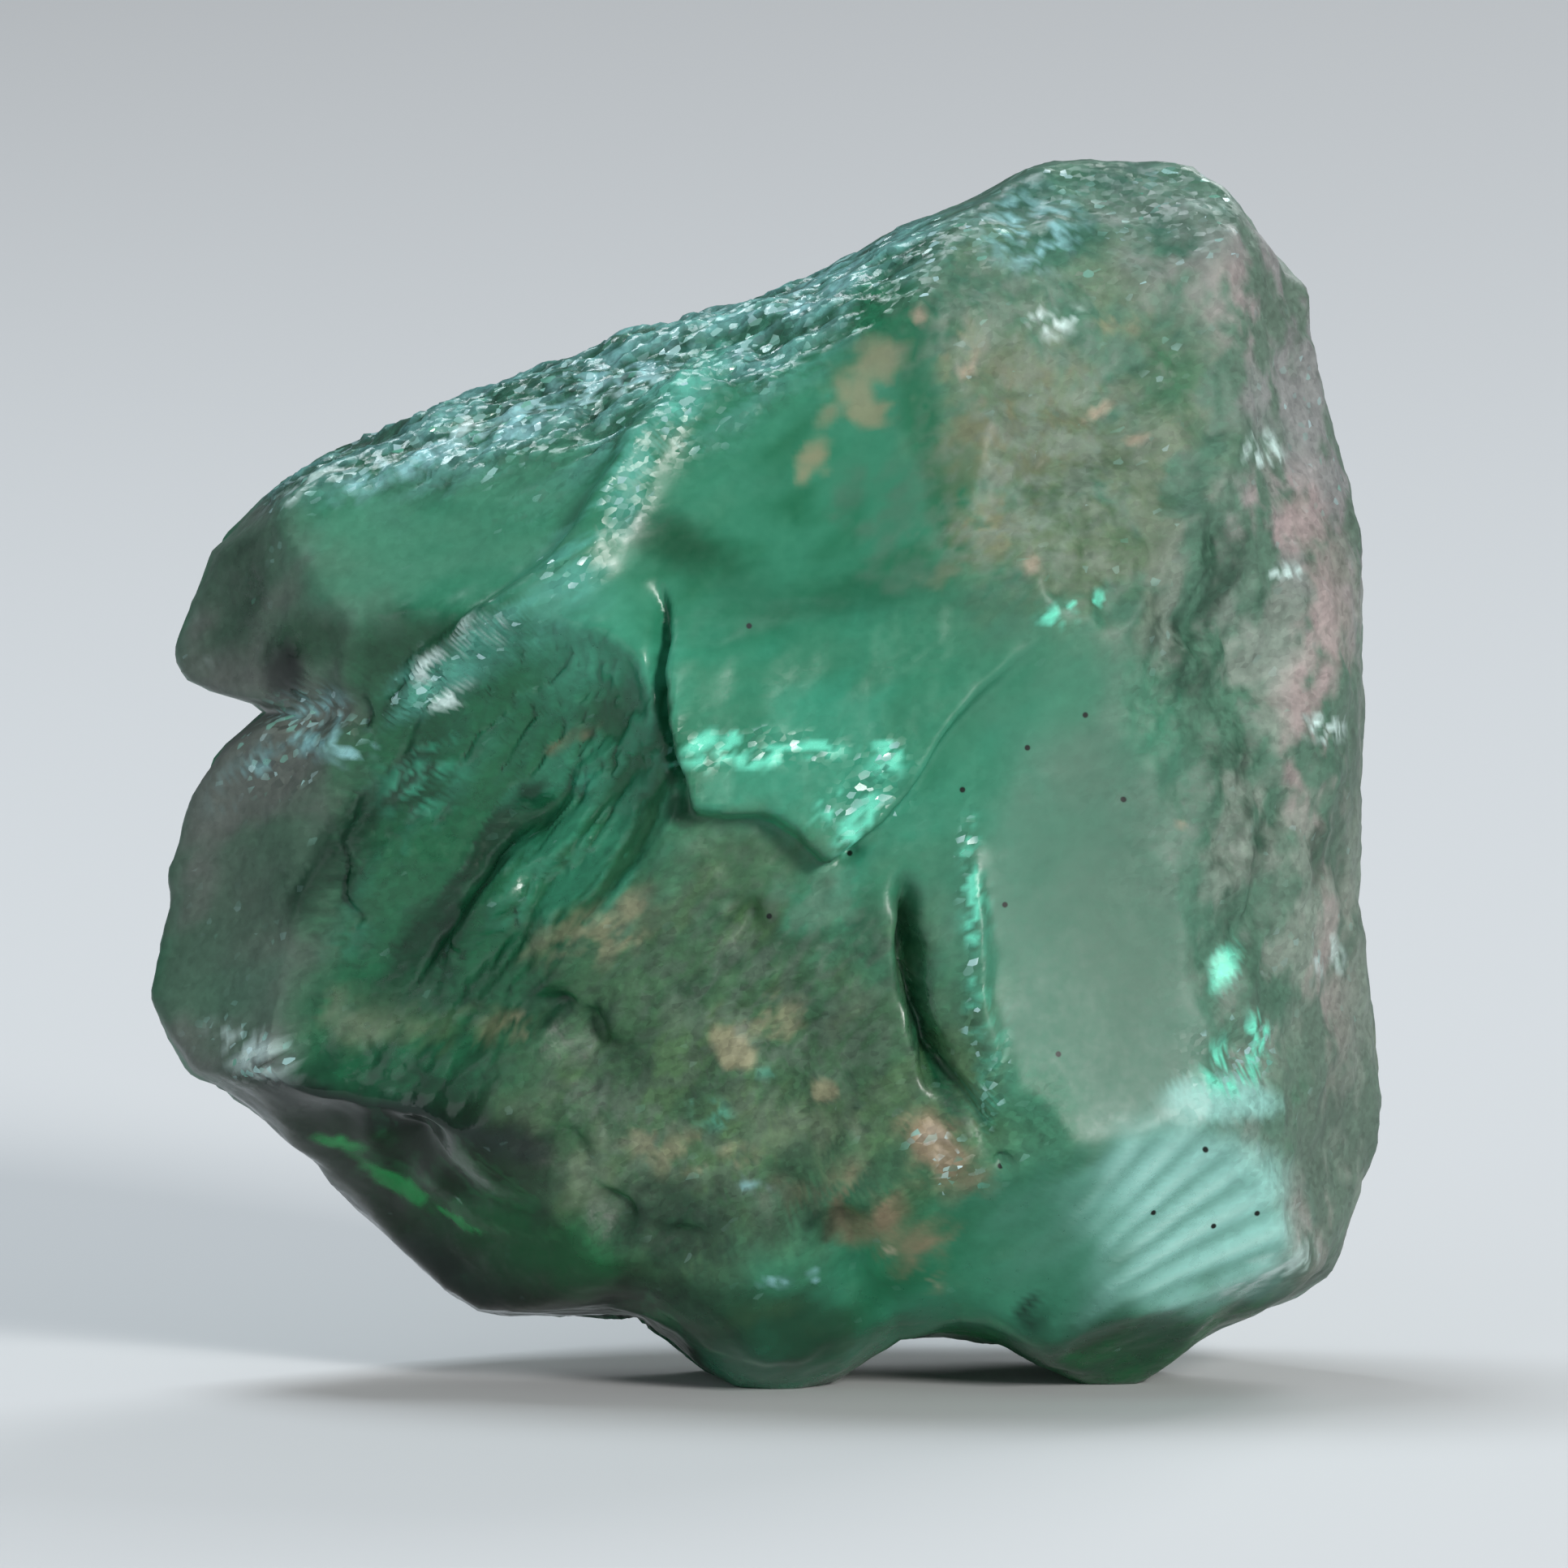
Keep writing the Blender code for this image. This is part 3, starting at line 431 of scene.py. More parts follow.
    ("blackish", 0.95, 0.45, 0.15, None, [(-9.6, 13.9, 0.80, 1.20, 0), (-8.4, 12.7, 0.40, 0.55, 0)]),
    ("dusk_grey", 0.80, 0.50, 0.15, "streaks", [(-9.9, 13.3, 0.5, 0.7, 0), (-9.3, 15.0, 0.35, 0.5, -30)]),
    # Bump under the brown face: olive-brown green, darker towards the bottom with painted shade
    ("shade_green", 0.80, 0.55, 0.30, "blotches", [(-1.8, 3.3, 1.1, 0.6, 0), (0.6, 3.3, 0.8, 0.5, 0)]),
    ("olive", 0.85, 0.50, 0.30, None, [(-1.1, 1.5, 1.3, 0.7, 0), (0.9, 1.2, 1.0, 0.7, 0)]),
    ("dusk_grey", 0.80, 0.45, 0.25, "blotches", [(-2.0, 1.6, 0.8, 0.6, 0), (-0.3, 0.6, 0.8, 0.4, 0)]),
    ("moss", 0.50, 0.50, 0.25, "blotches", [(0.3, 1.0, 1.1, 0.6, 0)]),
    # Painted shade over the bump's lower part and the foot of the brown face
    ("shade_green", 0.45, 0.60, 0.25, None, [(0.0, 0.9, 1.4, 0.9, 0), (-1.6, 3.0, 1.2, 0.8, 0)]),
    # Undercut with its black spots and a painted green glow, and the fan
    ("blackish", 0.85, 0.40, 0.20, "blotches", [(4.8, 1.5, 0.8, 0.4, -20), (5.6, 1.1, 0.6, 0.3, 0)]),
    ("glow_green", 0.90, 0.55, 0.15, None, [(6.2, 0.55, 0.7, 0.35, 20)]),
    # The fan's pale colour with its painted reflection
    ("fan_pale", 0.90, 0.40, 0.10, None, [(7.6, 3.7, 1.5, 0.75, 0), (7.8, 2.8, 1.4, 0.6, 10),
                                          (8.0, 5.2, 0.9, 0.35, 0)]),
]

# Painted highlights, glints and green reflections: colour, whether grit breaks them up, and ellipses as above
FLASHES = [
    ("mint", False, [(-1.10, 11.40, 0.30, 0.12, 20), (-0.50, 11.48, 0.14, 0.10, 0),
                     (8.00, 7.50, 0.17, 0.42, -25), (0.6, 11.36, 0.9, 0.035, 0)]),
    ("mint", True, [(2.15, 11.00, 0.50, 0.26, 50), (1.70, 10.15, 0.55, 0.22, 55),
                    (8.20, 5.80, 0.55, 0.42, 30), (8.65, 6.35, 0.25, 0.35, 0),
                    (1.10, 10.25, 0.40, 0.20, 50), (0.1, 11.2, 1.3, 0.18, 5), (3.6, 9.4, 0.14, 0.5, 0),
                    (3.62, 8.4, 0.10, 0.9, 2), (5.35, 13.72, 0.50, 0.16, 22)]),
    ("white", True, [(8.77, 16.57, 0.36, 0.28, 0), (5.13, 18.80, 0.36, 0.24, 0),
                     (-5.77, 12.78, 0.32, 0.24, 20), (-5.25, 13.30, 0.18, 0.36, -30),
                     (-4.72, 13.42, 0.18, 0.24, 0), (-5.36, 12.22, 0.44, 0.14, 20),
                     (-5.10, 16.92, 0.50, 0.20, 20), (-4.00, 17.15, 0.34, 0.20, 0),
                     (9.98, 7.65, 0.28, 0.30, 0), (9.84, 11.65, 0.42, 0.20, 0),
                     (9.05, 14.35, 0.26, 0.16, 0), (7.9, 20.9, 0.50, 0.16, 0),
                     (-5.35, 3.36, 0.12, 0.10, 0), (-3.5, 5.15, 0.10, 0.08, 0),
                     (-6.65, 5.35, 0.16, 0.10, 0), (-9.1, 6.0, 0.70, 0.36, -25),
                     (9.0, 2.2, 0.8, 0.22, 25), (-10.0, 13.6, 0.16, 0.2, 0),
                     (-9.7, 12.8, 0.2, 0.12, 0), (-8.0, 16.0, 0.5, 0.16, 35), (-2.6, 17.7, 0.7, 0.2, 20)]),
    ("ice_blue", True, [(-7.9, 11.75, 0.65, 0.50, 20), (-9.15, 10.75, 0.75, 0.34, 35),
                        (-7.15, 11.35, 0.34, 0.26, 30), (-6.4, 16.3, 1.1, 0.28, 25),
                        (-2.6, 17.9, 1.2, 0.32, 18), (4.7, 20.5, 0.8, 0.7, 0),
                        (0.23, 2.02, 0.28, 0.12, 0), (0.92, 2.14, 0.18, 0.10, 0),
                        (0.0, 3.7, 0.26, 0.09, 0), (-4.3, 17.0, 1.3, 0.3, 22), (0.8, 19.3, 0.9, 0.3, 32)]),
    ("leaf", False, [(-7.55, 4.42, 0.46, 0.11, -8), (-6.35, 3.62, 0.62, 0.11, -35),
                     (-5.6, 3.2, 0.3, 0.06, -35)]),
]

# Black specks: across and up, then how far each one's black reaches and how far out it is looked for, in mm,
# and the share of its radius over which its edge fades
SPECKS = [
    (4.59, 11.33), (3.46, 10.60), (6.27, 10.43), (5.13, 6.00), (1.50, 9.50), (6.81, 3.21), (7.70, 4.33),
    (8.63, 3.19), (7.84, 3.00), (4.13, 4.04), (-0.25, 13.45), (4.2, 8.6), (5.6, 11.9), (0.1, 8.4),
]
SPECK_RADIUS = 0.05
SPECK_REACH = 0.25
SPECK_EDGE = 0.3

# How far the grid's ways are pulled to the front, where the detail is, and how flat they are pressed
FRONT_PULL = 0.40
GRID_FLATNESS = 0.6

# Fine surface in mm: the fan's ribs, the dark lobe's ripples and the lines that run along some breaks
FAN_FOCUS = (2.9, 0.0)
FAN_RIBS = 72.0
FAN_RIB_HEIGHT = 0.035
FAN_WAVER = [(1.2, 1.5, 78)]
# Strength of the painted highlight on the fan ribs' crests and of the painted shade in their hollows
FAN_RIB_HIGHLIGHT = 0.75
FAN_RIB_SHADE = 0.6
LOBE_FOCUS = (-4.0, 5.2)
LOBE_RIPPLES = 9.0
LOBE_RIPPLE_HEIGHT = 0.05
LOBE_RIPPLE_FADE = 3.0
FIBRE_HEIGHT = 0.10
RAISED_PATTERNS = ("fibres", "streaks", "growth")
COARSEST_GRAIN = 0.16

# How mottled the colour is on the finest break, and how much more on the coarsest
LEAST_MOTTLE = 0.05
COARSE_MOTTLE = 0.16

# Edges of the painted highlights and of the two kinds of places below: softness, and raggedness in mm
FLASH_SOFTNESS = 0.5
FLASH_RAGGEDNESS = 0.12
SPARKLE_SOFTNESS = 0.6
GLASSY_SOFTNESS = 0.4

# The share of its sparkle that a break keeps where its grains lie flattest
LEAST_SPARKLE = 0.35

# Where paint and fine relief for the front fade out at the stone's sides: the share of a way that points out
FRONT_FADE = (0.05, 0.30)

# Places along the ridges where the grains flash most with painted glints: ellipses as above
RIDGE_SPARKLES = [
    (-1.3, 17.6, 0.35, 0.9, -35), (-2.4, 15.9, 0.40, 1.0, -20), (-3.4, 14.3, 0.45, 0.9, -50),
    (-4.8, 13.3, 1.0, 0.40, 30), (-6.0, 12.3, 0.7, 0.40, 40), (3.6, 8.0, 0.22, 2.0, 2),
    (3.95, 5.4, 0.22, 0.8, -15), (-8.3, 11.4, 1.2, 0.8, 20), (8.2, 6.0, 0.8, 0.7, 0),
    (-9.3, 6.0, 0.9, 0.5, -20), (1.9, 10.6, 0.9, 0.5, 50), (-0.4, 11.3, 1.5, 0.35, 0),
    (3.1, 4.2, 0.8, 0.5, -40), (-8.7, 5.8, 0.6, 0.3, 0),
]

# Places where the break is smooth as glass: ellipses as above
GLASSY_SPOTS = [
    (-9.6, 13.9, 1.0, 1.4, 0), (-8.5, 12.8, 0.6, 0.7, 0), (-6.0, 4.2, 2.6, 1.2, -35), (2.7, 6.9, 0.3, 1.6, 8),
    (0.4, 1.0, 1.6, 0.9, 0),
]
GLASSY_ROUGHNESS = 0.14

# The sizes of the beryl's grit and grains in mm, how the grains lean in radians and how they are drawn out
GRIT_SIZE = 0.20
GRIT_DETAIL = 2.0
NOISE_ROUGHNESS = 0.55
GRAIN_SIZE = 0.10
GRAIN_LEAN = (0.0, -0.44, 0.0)
GRAIN_STRETCH = (1.7, 1.0, 1.0)

# How much grit darkens or lightens the smoothest break, how much more the coarsest, and how much grains do
SMOOTH_GRIT = 0.12
COARSE_GRIT = 1.3
GRAIN_CONTRAST = 0.5

# How far a grain's chance has to pass 1 for its painted glint to show in full, its weakest painted glint,
# and how much stronger it can be
GLINT_RISE = 0.10
WEAKEST_GLINT = 0.2
GLINT_SPREAD = 0.7

# How much grit, the painted highlights and the grains with painted glints change the roughness
GRIT_ROUGHNESS = 0.2
FLASH_GLOSS = 0.1
GLINT_GLOSS = 0.1

# The grit's bump, its depth in mm, and the black of the specks
BUMP_STRENGTH = 0.25
BUMP_DEPTH = 0.06
SPECK_BLACK = (0.004, 0.008, 0.006, 1.0)

# The paper's grain: its size in mm, how strongly it shows and its grey
PAPER_GRAIN_SIZE = 3.0
PAPER_GRAIN_DETAIL = 3.0
PAPER_GRAIN_SHARE = 0.04
PAPER_GREY = (0.5, 0.5, 0.5, 1.0)
PAPER_ROUGHNESS = 0.8

# The floor that bends up into a backdrop, in metres
SWEEP = {"width": 3.0, "front": -1.5, "back": 1.5, "height": 0.8, "bend": 0.3}
BEND_POINTS = 17
WIDTH_POINTS = 5

# The soft square lights: place in metres, power in watts, width in metres and colour
LIGHTS = {
    "key_light": ((0.30, -0.48, 0.23), 3.8, 0.14, (1.0, 0.98, 0.95)),
    "fill_light": ((-0.40, -0.52, 0.19), 0.56, 0.40, (0.90, 0.97, 1.0)),
    "top_light": ((-0.08, 0.09, 0.36), 0.9, 0.15, (0.86, 0.94, 1.0)),
    "back_light": ((0.24, 0.54, 0.38), 1.8, 0.30, (0.96, 0.98, 1.0)),
}
ROOM_COLOUR = (0.80, 0.86, 0.90, 1.0)
ROOM_STRENGTH = 0.28

# The photograph's frame in front-view millimetres, its width and its middle, and what is too near to be seen
FRAME_WIDTH = 27.6
FRAME_MIDDLE = (0.357, 10.70)
NEAREST_SEEN = 0.01


def cube_directions(cells):
    """Directions over a ball and the quads between them: six square grids of equal angles, sewn together."""
    turn = np.tan(np.linspace(-math.pi / 4, math.pi / 4, cells + 1))
    first, second = np.meshgrid(turn, turn, indexing="ij")
    ones = np.ones_like(first)
    grids = []
    for axis in range(3):
        for side in (1.0, -1.0):
            grid = np.stack([side * ones, side * first, second], axis=-1)
            grids.append(np.roll(grid, axis, axis=-1).reshape(-1, 3))
    corner = np.arange((cells + 1) ** 2).reshape(cells + 1, cells + 1)
    square = np.stack([corner[:-1, :-1], corner[1:, :-1], corner[1:, 1:], corner[:-1, 1:]], axis=-1)
    square = square.reshape(-1, 4)
    quads = np.concatenate([square + k * corner.size for k in range(len(grids))])
    ways = np.concatenate(grids)
    ways = ways / np.linalg.norm(ways, axis=1, keepdims=True)
    _, kept, place = np.unique(np.round(ways, 6), axis=0, return_index=True, return_inverse=True)
    return ways[kept], place.reshape(-1)[quads]


def unit(vector):
    """The same way with length 1."""
    return np.asarray(vector, float) / np.linalg.norm(vector)


def outline_reach(ways):
    """Distance from the heart to the outline along each direction's shadow on the front plane."""
    corners = np.array(OUTLINE) - HEART[:2]
    bearing = np.arctan2(corners[:, 1], corners[:, 0])
    corners = corners[np.argsort(bearing)]
    bearing = np.sort(bearing)
    after = np.roll(corners, -1, axis=0)
    heading = np.arctan2(ways[:, 1], ways[:, 0])
    edge = (np.searchsorted(bearing, heading) - 1) % len(bearing)
    start, run = corners[edge], (after - corners)[edge]
    across, up = np.cos(heading), np.sin(heading)
    return (start[:, 0] * run[:, 1] - start[:, 1] * run[:, 0]) / (across * run[:, 1] - up * run[:, 0])


def body_reach(ways):
    """Distance from the heart to the rounded body: a superellipse from the outline to its front or back."""
    depth = np.where(ways[:, 2] > 0, FRONT_DEPTH, BACK_DEPTH)
    flat = np.hypot(ways[:, 0], ways[:, 1]) / outline_reach(ways)
    deep = np.abs(ways[:, 2]) / depth
    return (flat**BODY_SQUARENESS + deep**BODY_SQUARENESS) ** (-1 / BODY_SQUARENESS)


def bowl_reach(ways, point, facing, radius):
    """Distance from the heart to a break: the near side of a ball centred out along the way it faces."""
    ball = np.array(point) - HEART + unit(facing) * radius
    along = ways @ ball
    length = (ways**2).sum(axis=1)
    root = along**2 - length * (ball @ ball - radius**2)
    met = (root > 0) & (along > 0)
    return np.where(met, (along - np.sqrt(np.where(met, root, 0.0))) / length, FAR)


def lattice_value(cell, seed):
    """A number from -1 to 1 for each whole-number cell, always the same for the same cell and seed."""
    mixed = (cell * CELL_MIX).sum(axis=-1) + seed * DRAW_MIX
    mixed = ((mixed ^ (mixed >> 13)) * BIT_MIX) & 0xFFFFFFFF
    return ((mixed ^ (mixed >> 15)) & 0xFFFF) / 32767.5 - 1.0


def hackly_noise(points, size, seed):
    """Noise with flat facets: values on a cube lattice, joined by straight slopes over its tetrahedra."""
    scaled = points / size + seed
    cell = np.floor(scaled).astype(np.int64)
    part = scaled - cell
    order = np.argsort(-part, axis=1)
    share = np.take_along_axis(part, order, axis=1)
    step = np.eye(3, dtype=np.int64)[order]
    second = cell + step[:, 0]
    third = second + step[:, 1]
    return (
        (1 - share[:, 0]) * lattice_value(cell, seed)
        + (share[:, 0] - share[:, 1]) * lattice_value(second, seed)
        + (share[:, 1] - share[:, 2]) * lattice_value(third, seed)
        + share[:, 2] * lattice_value(cell + 1, seed)
    )


def layered_noise(points, layers, number=0):
    """Flat-sided noise of several sizes, added up by their strengths. The number makes it another draw."""
    return sum(strength * hackly_noise(points, size, seed + number) for strength, size, seed in layers)


def line_nearness(spots, points):
    """How far each spot is from a line through the points, and where along it, from 0 at its start to 1."""
    start = np.array(points[:-1])
    run = np.array(points[1:]) - start
    away = spots[:, None, :] - start
    share = np.clip((away * run).sum(axis=2) / (run**2).sum(axis=1), 0.0, 1.0)
    gap = away - share[..., None] * run
    gap = np.hypot(gap[..., 0], gap[..., 1])
    nearest = gap.argmin(axis=1)
    each = np.arange(len(spots))
    length = np.hypot(run[:, 0], run[:, 1])
    before = np.cumsum(length) - length
    along = before[nearest] + share[each, nearest] * length[nearest]
    return gap[each, nearest], along / length.sum()


def polygon_depth(spots, points):
    """Distance from each spot to a polygon's edge, counted as more than nought inside it and less outside."""
    edge, _ = line_nearness(spots, points + points[:1])
    inside = np.zeros(len(spots), bool)
    for (x0, y0), (x1, y1) in zip(points, points[1:] + points[:1]):
        crosses = (y0 > spots[:, 1]) != (y1 > spots[:, 1])
        meets = x0 + (spots[:, 1] - y0) * (x1 - x0) / (y1 - y0 if y1 != y0 else 1.0)
        inside ^= crosses & (spots[:, 0] < meets)
    return np.where(inside, edge, -edge)


def step_up(value):
    """A smooth step from 0 at -1 to 1 at +1."""
    share = np.clip(value / 2 + 0.5, 0.0, 1.0)
    return share * share * (3 - 2 * share)


def front_relief(spots):
    """How far the tongue, ridges, cracks and pits stand out from the front at each spot across and up."""
    flat = np.column_stack([spots, np.zeros(len(spots))])
    ragged = [hackly_noise(flat, LINE_RAGGED_SIZE, seed) for seed in LINE_DRAWS]
    spots = spots + LINE_RAGGEDNESS * np.stack(ragged, axis=1)
    below_top = np.clip(TONGUE_TOP - spots[:, 1], 0.0, None)
    rise = TONGUE_HEIGHT * (1 - np.exp(-((below_top / TONGUE_HINGE) ** 2)))
    relief = rise * step_up(polygon_depth(spots, TONGUE) / TONGUE_WALL)
    for height, half_width, points in RIDGES.values():
        gap, along = line_nearness(spots, points)
        taper = np.minimum(1.0, np.minimum(along, 1 - along) / LINE_TAPER)
        relief += height * taper * np.exp(-((gap / half_width) ** 2))
    for across, up, radius, depth in PITS:
        relief -= depth * np.exp(-((spots[:, 0] - across) ** 2 + (spots[:, 1] - up) ** 2) / radius**2)
    return relief


def sheet_reaches(ways):
    """Distance from the heart to the rough body and to each rough break, one row for each in their order."""
    sheets = [(body_reach(ways), BODY_ROUGHNESS)]
    for point, facing, radius, rough in BREAKS.values():
        sheets.append((bowl_reach(ways, point, facing, radius), rough))
    reaches = []
    for number, (reach, rough) in enumerate(sheets):
        near = ways * np.minimum(reach, NOISE_REACH)[:, None]
        reaches.append(reach + rough * layered_noise(near, BREAK_NOISE, number))
    return np.array(reaches)


def stone_reach(ways):
    """Distance from the heart to the surface: a soft least of the body and of all the breaks."""
    reaches = sheet_reaches(ways)
    least = reaches.min(axis=0)
    gaps = np.minimum((reaches - least) / EDGE_ROUNDING, GAP_LIMIT)
    return least - EDGE_ROUNDING * np.log(np.exp(-gaps).sum(axis=0))


def stone_points(ways):
    """The surface in front-view millimetres: across, up and out, with the relief pushed along each way."""
    points = HEART + ways * stone_reach(ways)[:, None]
    steep = ways / np.linalg.norm(ways, axis=1, keepdims=True)
    facing = step_up((steep[:, 2] - RELIEF_FADE_MIDDLE) / RELIEF_FADE_HALF)
    return points + steep * (facing * front_relief(points[:, :2]))[:, None]


def to_world(points):
    """Front-view millimetres turned by the eye's downward look into metres, with the feet at the ground."""
    across, up, out = points.T
    down, level = math.sin(LOOK_DOWN), math.cos(LOOK_DOWN)
    back = up * down - out * level - MIDDLE_BACK
    return np.stack([across - MIDDLE_ACROSS, back, up * level + out * down - FOOT_FLAT], axis=1) * MM


def display_colour(red, green, blue):
    """A colour seen as 0 to 255 turned into the linear numbers of shaders, by the usual screen curve."""
    share = np.array([red, green, blue]) / 255
    return np.where(share <= 0.04045, share / 12.92, ((share + 0.055) / 1.055) ** 2.4)


def smooth(low, high, value):
    """0 up to low, 1 from high on, and a smooth slope between."""
    return step_up(2 * (value - low) / (high - low) - 1)


def break_shares(ways):
    """How much each break has a say at each way: near 1 for the nearest, fading over COLOUR_BLEND mm."""
    reaches = sheet_reaches(ways)[1:]
    near = ways * np.minimum(reaches.min(axis=0), NOISE_REACH)[:, None]
    for number, reach in enumerate(reaches):
        reach += BORDER_FRAY * layered_noise(near, BORDER_NOISE, number)
    gaps = np.minimum((reaches - reaches.min(axis=0)) / COLOUR_BLEND, GAP_LIMIT)
    shares = np.exp(-gaps)
    return shares / shares.sum(axis=0)


def share_of(shares, name):
    """The share that one break has at each point, out of the shares of them all."""
    return shares[list(BREAKS).index(name)]


def pattern(points, name, number):
    """A pattern from 0 to 1: patchy noise in three sizes, drawn out along the way that it runs."""
    size, stretch, run, cover = PATTERNS[name]
    run = unit(run)
    squeezed = points - np.outer(points @ run * (1 - 1 / stretch), run)
    layers = [(strength, share * size, draw) for strength, share, draw in PATTERN_LAYERS]
    patchy = layered_noise(squeezed, layers, number)
    return smooth(-PATTERN_EDGE, PATTERN_EDGE, patchy + cover - 0.5)


def ellipse_mask(spots, ellipses, softness, ragged):
    """Nearness to the closest ellipse: 1 well inside it, 0 outside, over a rim as wide as the softness."""
    mask = np.zeros(len(spots))
    for across, up, half_length, half_width, turn in ellipses:
        angle = math.radians(turn)
        offset = spots - np.array([across, up])
        along = offset[:, 0] * math.cos(angle) + offset[:, 1] * math.sin(angle)
        aside = offset[:, 1] * math.cos(angle) - offset[:, 0] * math.sin(angle)
        size = min(half_length, half_width)
        away = np.hypot(along / half_length, aside / half_width) + ragged / size
        mask = np.maximum(mask, 1 - smooth(1 - softness, 1 + softness, away))
    return mask


def fan_wave(spots):
    """Ribs that spread over the fan-shaped break from a point below it: a wave of the angle round it."""
    offset = spots - np.array(FAN_FOCUS)
    flat = np.column_stack([spots, np.zeros(len(spots))])
    waver = layered_noise(flat, FAN_WAVER)
    return np.sin(np.arctan2(offset[:, 1], offset[:, 0]) * FAN_RIBS + waver)


def stone_colour(points, shares, grain, front, patterns):
    """Each point's colour: the breaks' colours by share, then painted patches, shade, highlights and glints.
    """
    colour = np.zeros((len(points), 3))
    for share, (first, second, name, *_) in zip(shares, FINISHES.values()):
        ground, spot = display_colour(*PALETTE[first]), display_colour(*PALETTE[second])
        colour += share[:, None] * (ground + patterns[name][:, None] * (spot - ground))
    mottled = LEAST_MOTTLE + COARSE_MOTTLE * grain / COARSEST_GRAIN
    shade = (1 + mottled * layered_noise(points, CLOUD_NOISE))[:, None]
    colour = colour * shade
    spots = points[:, :2]
    fray = layered_noise(points, PATCH_EDGE_NOISE)
    for name, strength, softness, ragged, broken, ellipses in PATCHES:
        mask = strength * front * ellipse_mask(spots, ellipses, softness, ragged * fray)
        if broken is not None:
            mask = mask * patterns[broken]
        colour += mask[:, None] * (display_colour(*PALETTE[name]) * shade - colour)
    # The fan's ribs: a painted highlight on each crest and painted shade in each hollow
    wave = front * share_of(shares, "fan") * fan_wave(spots)
    crest, hollow = np.maximum(wave, 0)[:, None] ** 3, np.maximum(-wave, 0)[:, None]
    colour += FAN_RIB_HIGHLIGHT * crest * (display_colour(*PALETTE["fan_rib_highlight"]) - colour)
    colour += FAN_RIB_SHADE * hollow * (display_colour(*PALETTE["fan_rib_shade"]) - colour)
    # Painted highlights, glints and reflections over the colour; where they lie the shine is made glossier too
    flash = np.zeros(len(points))
    for name, broken, ellipses in FLASHES:
        mask = front * ellipse_mask(spots, ellipses, FLASH_SOFTNESS, FLASH_RAGGEDNESS * fray)
        if broken:
            mask = mask * patterns["grit"] ** 2
        colour += mask[:, None] * (display_colour(*PALETTE[name]) - colour)
        flash = np.maximum(flash, mask)
    return np.clip(colour, 0.0, 1.0), flash


def fine_relief(points, shares, grain, patterns):
    """Fine hackle pushed out along each way: flat-sided noise, and the lines that run along some breaks."""
    relief = grain * layered_noise(points, GRAIN_NOISE)
    for share, (_, _, name, *_) in zip(shares, FINISHES.values()):
        if name in RAISED_PATTERNS:
            relief += FIBRE_HEIGHT * share * (patterns[name] - 0.5)
    return relief


def lobe_ripples(spots, shares):
    """Shell-like ripples over the dark lobe: a wave of the distance from its upper corner, dying away."""
    away = np.hypot(spots[:, 0] - LOBE_FOCUS[0], spots[:, 1] - LOBE_FOCUS[1])
    height = LOBE_RIPPLE_HEIGHT * np.exp(-away / LOBE_RIPPLE_FADE)
    return height * np.sin(away * LOBE_RIPPLES) * share_of(shares, "low_left_lobe")


def speck_offsets(spots, front):
    """Each point's offset in mm from the nearest speck, across and up, and 1 as a mark where none is near."""
    offsets = spots[:, None, :] - np.array(SPECKS)
    gaps = np.hypot(offsets[..., 0], offsets[..., 1])
    nearest = gaps.argmin(axis=1)
    each = np.arange(len(spots))
    far = (gaps[each, nearest] > SPECK_REACH) | (front < 0.5)
    near = np.where(far[:, None], 0.0, offsets[each, nearest])
    return np.column_stack([near, far.astype(float)])


def emerald_surface(cells):
    """The whole stone: its quads, its points in metres, and what is painted at each point by name."""
    ways, quads = cube_directions(cells)
    ways = ways + np.array([0.0, 0.0, FRONT_PULL])
    ways = ways * np.array([1.0, 1.0, GRID_FLATNESS])
    points = stone_points(ways)
    shares = break_shares(ways)
    patterns = {}
    for number, name in enumerate(PATTERNS):
        patterns[name] = pattern(points, name, PATTERN_DRAW + PATTERN_DRAW_STEP * number)
    steep = ways / np.linalg.norm(ways, axis=1, keepdims=True)
    front = smooth(*FRONT_FADE, steep[:, 2])
    spots = points[:, :2]
    sparkle, rough, grain = np.array([finish[3:] for finish in FINISHES.values()]).T @ shares
    ribs = FAN_RIB_HEIGHT * fan_wave(spots) * share_of(shares, "fan")
    relief = fine_relief(points, shares, grain, patterns) + front * (ribs + lobe_ripples(spots, shares))
    colour, flash = stone_colour(points, shares, grain, front, patterns)
    ridges = front * ellipse_mask(spots, RIDGE_SPARKLES, SPARKLE_SOFTNESS, 0.0)
    glassy = front * ellipse_mask(spots, GLASSY_SPOTS, GLASSY_SOFTNESS, 0.0)
    rough += glassy * (GLASSY_ROUGHNESS - rough)
    sparkle = np.maximum(sparkle, ridges) * (LEAST_SPARKLE + (1 - LEAST_SPARKLE) * patterns["blotches"])
    painted = {
        "tint": colour, "sparkle": sparkle, "rough": rough, "grain": grain / COARSEST_GRAIN, "flash": flash,
        "speck": speck_offsets(spots, front),
    }
    placed = to_world(points + steep * relief[:, None])
    placed[:, 2] = np.maximum(placed[:, 2], 0.0)
    return quads, placed, painted


def new_mesh(name, points, quads):
    """A mesh of these points and quads."""
    mesh = bpy.data.meshes.new(name)
    mesh.from_pydata(points.tolist(), [], quads.tolist())
    mesh.update()
    return mesh


def new_object(name, data):
    """An object in the scene with a mesh, a light or a camera, in place of any older one of that name."""
    for old in [thing for thing in bpy.data.objects if thing.name == name]:
        bpy.data.objects.remove(old)
    made = bpy.data.objects.new(name, data)
    bpy.context.scene.collection.objects.link(made)
    return made


